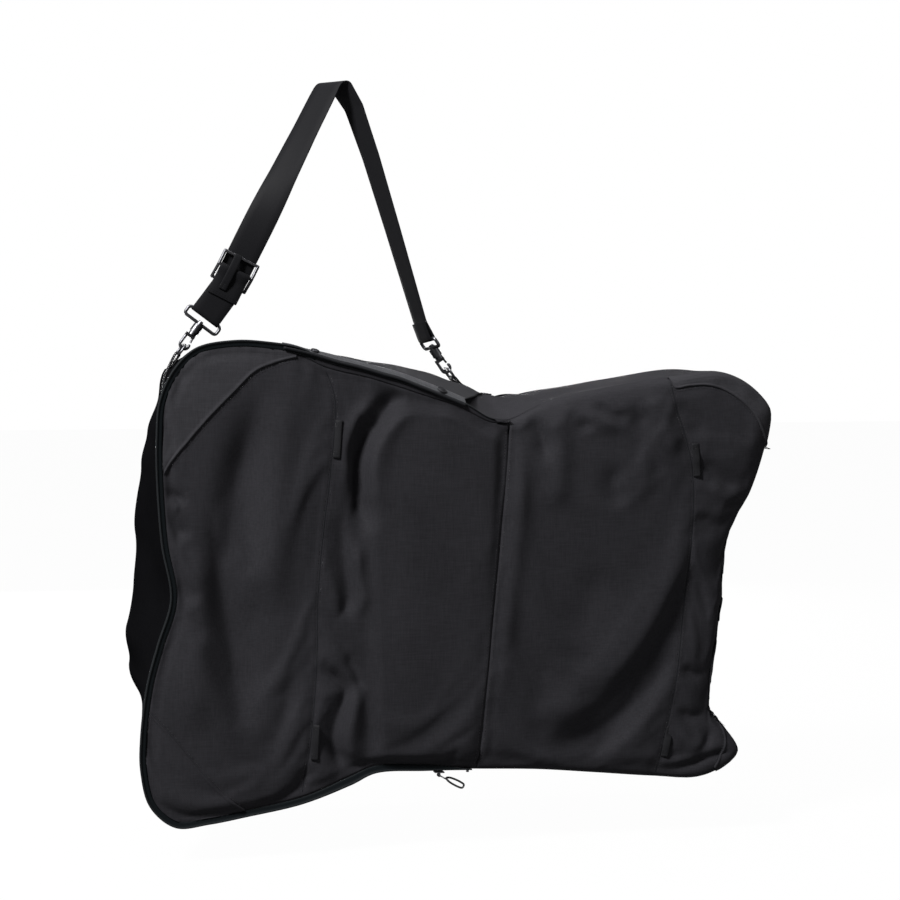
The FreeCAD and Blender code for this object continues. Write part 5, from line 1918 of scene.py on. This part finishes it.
@dataclass
class Flap:
    """Flap over the zip's upper end, with a stiffened lip and two snaps."""

    finishes: Finishes
    stitching: Stitching
    skin: Skin
    hinge_y: float = -28.0
    rear: Pair = (-79.7, 186.6)
    front: Pair = (-91.0, 133.0)
    lip: Sequence[Pair] = ((-92, -333.5), (-60, -341), (-27.5, -351), (0.8, -358),
                           (28, -366), (50, -372), (76.5, -382), (106.6, -394),
                           (133, -405))
    lift: float = 2.0
    thickness: float = 1.6
    columns: int = 84
    top_rows: int = 20
    snaps: Sequence[Pair] = ((-52.0, 5.2), (105.0, 6.2))     # place across, radius

    def sections(self) -> np.ndarray:
        """Lines from the hinge to the lip, evenly sampled."""
        made = []
        edge = resample(spline(self.lip), self.columns - 1)
        for s, (front_x, low) in zip(np.linspace(0.0, 1.0, self.columns), edge):
            rear_x = self.rear[0] + (self.rear[1] - self.rear[0]) * s
            drop = 2.0 + 5.0 * float(smooth(np.array(s / 0.3)))
            line = []
            for share in np.linspace(0.0, 1.0, self.top_rows):
                y = self.hinge_y + (-144.0 - self.hinge_y) * share
                x = rear_x + (front_x - rear_x) * share
                place, _ = self.skin.probe((x, min(y, -30.0), 60.0), (0.0, 0.0, -1.0))
                level = (place[2] if place is not None else low) + self.lift
                start = level if not line else line[0][2]
                line.append((x, y, max(level if y > -138 else -1e3,
                                       start + (low + drop - start) * share)))
            line += [(front_x, -149.5, low + drop * 0.62), (front_x, -153.4, low)]
            made.append(resample(spline(line, steps=5), 46))
        grid = np.array(made)
        for _ in range(6):
            grid[1:-1, :-6] = (grid[:-2, :-6] + grid[1:-1, :-6] * 2 + grid[2:, :-6]) / 4
        return grid

    def build(self) -> None:
        """Makes the flap, its band, its edge and its snaps."""
        grid = self.sections()
        x, y = grid[..., 0], grid[..., 1]
        grid[..., 2] += 0.5 * ripple(x, y, 47, (40.0, 120.0)) * smooth((y + 150) / -20 + 1)
        count, rows = grid.shape[:2]
        flap = new_piece("flap_cloth", grid.reshape(-1, 3), grid_faces(count, rows))
        BagBody.close_edges(flap)
        face_towards(flap, 2, 1.0)
        apply(flap, "SOLIDIFY", thickness=self.thickness * MM, offset=-1.0)
        settle(flap, "flap", self.finishes.flap, ["flap_panel"])
        end = grid[:, -1]
        travel = unit(np.gradient(end, axis=0))
        down = unit(grid[:, -1] - grid[:, -4])
        out = unit(np.cross(down, travel))
        out *= np.sign(-out[:, 1:2])
        edge = sweep("flap_edge_piping", end, down, out, [
            (-1.6, -2.2), (1.0, -2.0), (1.7, -0.8), (1.5, 0.6), (0.6, 1.0), (-1.4, 0.9),
            (-1.9, 0.2)])
        settle(edge, "flap", self.finishes.dark_tape, ["flap_edge_binding"])
        self.band(grid, out)
        self.snap_caps(grid)

    def band(self, grid: np.ndarray, out: np.ndarray) -> None:
        """Stiffened band along the lip."""
        first = -10
        strip = grid[:, first:-1]
        normal = np.cross(np.gradient(strip, axis=0), np.gradient(strip, axis=1))
        normal = unit(normal)
        flip = np.sign((normal * out[:, None]).sum(-1, keepdims=True))
        normal = normal * flip
        lift = np.full(strip.shape[1], 0.75)
        lift[0], lift[-1] = -0.3, 0.4
        points = strip + normal * lift[None, :, None]
        count, rows = points.shape[:2]
        run = np.linspace(0.0, 0.231, count)[:, None] * np.ones(rows)[None]
        deep = np.linspace(0.0, 0.012, rows)[None] * np.ones(count)[:, None]
        piece = new_piece("flap_lip_band", points.reshape(-1, 3), grid_faces(count, rows),
                          np.stack([run, deep], -1).reshape(-1, 2))
        face_towards(piece, 1, -1.0)
        # the band's light colour is partly painted highlight from the top light
        settle(piece, "flap", self.finishes.band, ["flap_band"])
        for row in (1, -2):
            self.stitching.add("flap", points[2:-2, row] + normal[2:-2, row] * 0.12,
                               unit(np.cross(normal[2:-2, row],
                                             np.gradient(points[2:-2, row], axis=0))),
                               normal[2:-2, row])

    def snap_caps(self, grid: np.ndarray) -> None:
        """Domed snap caps on the lip."""
        for number, (x, radius) in enumerate(self.snaps):
            column = int(np.abs(grid[:, -4, 0] - x).argmin())
            place = grid[column, -4]
            down = unit((grid[column, -1] - grid[column, -7])[None])[0]
            along = unit((grid[column + 1, -4] - grid[column - 1, -4])[None])[0]
            out = unit(np.cross(down, along)[None])[0]
            out *= -np.sign(out[1])
            bpy.ops.object.select_all(action="DESELECT")
            bpy.ops.mesh.primitive_cylinder_add(vertices=40, radius=radius * MM,
                                                depth=1.2 * MM, location=(0.0, 0.0, 0.0))
            cap = bpy.context.object
            cap.name = cap.data.name = ("flap_snap_left", "flap_snap_right")[number]
            bpy.ops.object.mode_set(mode="EDIT")
            bpy.ops.mesh.select_all(action="DESELECT")
            bpy.ops.object.mode_set(mode="OBJECT")
            for face in cap.data.polygons:
                face.select = face.normal.z > 0.9
            bpy.ops.object.mode_set(mode="EDIT")
            bpy.ops.mesh.inset(thickness=radius * 0.12 * MM, depth=0.35 * MM)
            bpy.ops.mesh.inset(thickness=radius * 0.12 * MM, depth=-0.3 * MM)
            bpy.ops.mesh.inset(thickness=radius * 0.22 * MM, depth=0.35 * MM)
            bpy.ops.mesh.inset(thickness=radius * 0.25 * MM, depth=0.18 * MM)
            bpy.ops.object.mode_set(mode="OBJECT")
            cap.select_set(False)
            apply(cap, "BEVEL", width=0.14 * MM, segments=2, limit_method="ANGLE")
            lean = Vector(out).to_track_quat("Z", "Y").to_matrix().to_4x4()
            cap.data.transform(lean)
            cap.data.transform(Matrix.Translation(Vector(place + out * 1.3) * MM))
            cap.data.polygons.foreach_set("use_smooth", [True] * len(cap.data.polygons))
            settle(cap, "flap", self.finishes.cap,
                   ["snap_caps"] if number == 0 else [])
            self.stud(number, place, out)

    def stud(self, number: int, place: np.ndarray, out: np.ndarray) -> None:
        """Stud on the bag that a snap cap closes on.

        Args:
            number: 0 on the left, 1 on the right.
            place: middle of the cap, mm.
            out: direction that the cap faces.
        """
        spot, normal = self.skin.probe(tuple(place - out * 2.0), tuple(-out))
        if spot is None or np.linalg.norm(spot - place) > 14.0:
            spot, normal = place - out * 4.0, out
        bpy.ops.object.select_all(action="DESELECT")
        bpy.ops.mesh.primitive_cylinder_add(vertices=28, radius=3.2 * MM, depth=1.6 * MM,
                                            location=(0.0, 0.0, 0.0))
        made = bpy.context.object
        made.name = made.data.name = ("snap_stud_left", "snap_stud_right")[number]
        made.select_set(False)
        apply(made, "BEVEL", width=0.4 * MM, segments=2, limit_method="ANGLE")
        made.data.transform(Vector(normal).to_track_quat("Z", "Y").to_matrix().to_4x4())
        made.data.transform(Matrix.Translation(Vector(spot + normal * 0.5) * MM))
        settle(made, "bag", self.finishes.cap,
               ["snap_studs"] if number == 0 else [])


@dataclass
class PullCord:
    """Small closed loop of cord on the zip's puller."""

    finishes: Finishes
    start: Triple = (110.4, -144.0, -865.4)
    angle: float = -28.0      # degrees from level
    length: float = 26.0
    width: float = 9.0
    radius: float = 1.25

    def build(self) -> None:
        """Makes the loop."""
        turn = math.radians(self.angle)
        along = np.array((math.cos(turn), 0.0, math.sin(turn)))
        side = np.array((-math.sin(turn), 0.0, math.cos(turn)))
        half = self.width / 2 - self.radius
        reach = self.length - half - self.radius
        shape = [(0.0, 0.0), (3.0, half * 0.6), (9.0, half * 0.95), (reach - 2.0, half),
                 (reach + half * 0.75, half * 0.7), (reach + half, 0.0),
                 (reach + half * 0.75, -half * 0.7), (reach - 2.0, -half),
                 (9.0, -half * 0.95), (3.0, -half * 0.6)]
        path = [np.array(self.start) + along * a + side * b for a, b in shape]
        line = spline(path, closed=True, steps=10)
        travel = unit(np.roll(line, -1, 0) - np.roll(line, 1, 0))
        depth = np.tile((0.0, 1.0, 0.0), (len(line), 1))
        piece = sweep("zip_pull_cord", line, unit(np.cross(travel, depth)), depth,
                      round_section(self.radius, 10), closed=True)
        settle(piece, "zip_pull", self.finishes.cord, ["pull_loop"])


def dress_hardware(finishes: Finishes) -> None:
    """Gives the CAD parts that stay in view their finishes."""
    plated = ["left_hook", "right_hook", "left_gate", "right_gate", "left_gate_pin",
              "right_gate_pin", "left_ring", "right_ring", "left_eye", "right_eye",
              "slider_frame", "zip_slider", "zip_puller", "zip_stop", "snap_studs"]
    for name in plated:
        dress(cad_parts[name], finishes.metal)
    for name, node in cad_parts.items():
        if name not in plated:
            dress(node, finishes.shell)


def main() -> None:
    """Builds the bag's looks, in order."""
    logging.basicConfig(level=logging.INFO, format="%(message)s")
    Studio().build()
    finishes = Finishes()
    dress_hardware(finishes)
    shape = BagShape()
    patches = shape.patches()
    body = BagBody(shape, finishes).build(patches)
    cover = FrontCover(shape, finishes).build(patches)
    EdgeBand(shape, finishes).build()
    skin = Skin([body, cover])
    stitching = Stitching(skin, finishes.thread)
    corner_patches(shape, skin, finishes, stitching)
    # dark strips in the left and right seams: painted shade of their sunken grooves
    lay_seam_shade("left_seam_painted_shade", skin, shape.left_seam[2:-2], "cover", finishes)
    lay_seam_shade("right_seam_painted_shade", skin, shape.right_seam[2:-2], "bag", finishes)
    stitching.row("cover", shape.left_seam[3:-3], 2.6)
    stitching.row("cover", shape.left_seam[3:-3], -2.6)
    stitching.row("cover", shape.hinge_seam[3:-3], 4.2)
    stitching.row("bag", shape.hinge_seam[3:-3], -3.2)
    stitching.row("bag", shape.right_seam[3:-3], 2.6)
    stitching.row("bag", shape.right_seam[3:-3], -2.6)
    sew_tabs(skin, finishes, stitching)
    Flap(finishes, stitching, skin).build()
    Strap(finishes, stitching).build()
    Adjuster(finishes, stitching).build()
    for anchor in ANCHORS:
        anchor.build(skin, finishes, stitching)
    PullCord(finishes).build()
    stitching.build()


def round_foot(centre: Pair, start: float, end: float, count: int = 7) -> list:
    """Places round a corner of the bag, with the way to look at it from each."""
    made = []
    for k in range(count):
        turn = math.radians(start + (end - start) * k / (count - 1))
        way = (-math.cos(turn), 0.0, -math.sin(turn))
        made.append(((centre[0] - 300 * way[0], 0.0, centre[1] - 300 * way[2]), way))
    return made


ANCHORS = [
    Anchor("ring_tab_left", "anchor_tab_left", (-200.4, 0.0, -343.2),
           round_foot((-150.0, -431.0), 158.0, 132.0)),
    Anchor("ring_tab_right", "anchor_tab_right", (153.84, 0.0, -374.6),
           [((x, 0.0, 60.0), (0.0, 0.0, -1.0)) for x in (204, 196, 188, 180, 172, 164)]),
]


def sew_tabs(skin: Skin, finishes: Finishes, stitching: Stitching) -> None:
    """Sews the folded tabs into the seams.

    Args:
        skin: faces of the front.
        finishes: materials.
        stitching: where their bartacks go.
    """
    tabs = [SeamTab("seam_tab_left_high", "cover", (-29.5, -421), (-33, -467)),
            SeamTab("seam_tab_left_low", "cover", (-58, -790), (-61, -833)),
            SeamTab("seam_tab_right_high", "bag", (424.5, -455), (428, -497)),
            SeamTab("seam_tab_right_low", "bag", (394, -811), (387, -849))]
    for tab, node in zip(tabs, (["seam_loops_left"], [], ["seam_loops_right"], [])):
        piece = tab.build(skin, finishes, stitching)
        settle(piece, tab.body, finishes.tab, node)


def lay_seam_shade(name: str, skin: Skin, path: np.ndarray, body: str,
              finishes: Finishes) -> None:
    """Lays a dark strip along a seam as painted shade for its sunken groove.

    Args:
        name: name of the piece.
        skin: faces of the front.
        path: rows of x and z, mm.
        body: body that carries it.
        finishes: materials.
    """
    line = resample(path, max(20, int(length_of(path) / 2.5)))
    centres, across, out = laid_line(skin, line, 0.0)
    piece = sweep(name, centres, across, out,
                  [(-0.9, -0.9), (-0.6, 0.12), (0.0, 0.22), (0.6, 0.12), (0.9, -0.9)])
    settle(piece, body, finishes.dark_tape)


def corner_patches(shape: BagShape, skin: Skin, finishes: Finishes,
                   stitching: Stitching) -> None:
    """Sews the corner patches on.

    Args:
        shape: surfaces of the bag.
        skin: faces of the front.
        finishes: materials.
        stitching: where their stitches go.
    """
    def between(start: Pair, end: Pair, inset: bool) -> Callable[[], np.ndarray]:
        """Edge of the front between the samples nearest to two places."""
        def line() -> np.ndarray:
            """The samples, the shorter way round."""
            ring = shape.inner if inset else shape.loop[:, :2]
            a = int(np.linalg.norm(ring - np.array(start), axis=1).argmin())
            b = int(np.linalg.norm(ring - np.array(end), axis=1).argmin())
            count = len(ring)
            forward = (b - a) % count
            if forward <= count - forward:
                return ring[np.arange(a, a + forward + 1) % count]
            return ring[np.arange(a, a - (count - forward) - 1, -1) % count]
        return line
    seams = [
        ("patch_top_left", "cover", "corner_patch_top_left", True,
         [(-78, -346), (-104, -353), (-126, -362), (-152, -386), (-178, -412),
          (-202, -439), (-226, -468), (-235.5, -482)]),
        ("patch_bottom_left", "cover", "corner_patch_bottom_left", True,
         [(-255, -768), (-225, -803), (-196, -840), (-166, -872), (-142, -890)]),
        ("patch_top_right", "bag", "corner_patch_top_right", False,
         [(400, -376), (404, -386), (422, -384), (445, -383), (466, -388), (489, -401),
          (507, -418), (519, -439), (526, -453), (531, -464)]),
        ("patch_bottom_right", "bag", "corner_patch_bottom_right", False,
         [(450, -792), (460, -802), (468, -815), (472, -830), (469, -846), (458, -866)]),
    ]
    for name, body, node, inset, seam in seams:
        patch = CornerPatch(name, body, node, seam, between(seam[0], seam[-1], inset),
                            1.0 if inset else 0.95)
        # painted light: top patches take the lighter cloth, as if lit from above; bottom patches
        # take the shell cloth
        line = patch.build(skin, finishes.patch if "top" in name else finishes.shell)
        way = unit(np.gradient(line, axis=0))
        side = np.stack([-way[:, 1], way[:, 0]], 1) * (-0.9 if name.endswith("left") else 0.9)
        # dark strip beside the patch seam: painted shadow of its turned edge
        lay_seam_shade(name + "_shadow", skin, line + side, body, finishes)
        stitching.row(body, line[4:-4], 2.2 if name.endswith("left") else -2.2, 1.9)


if __name__ == "__main__":
    main()
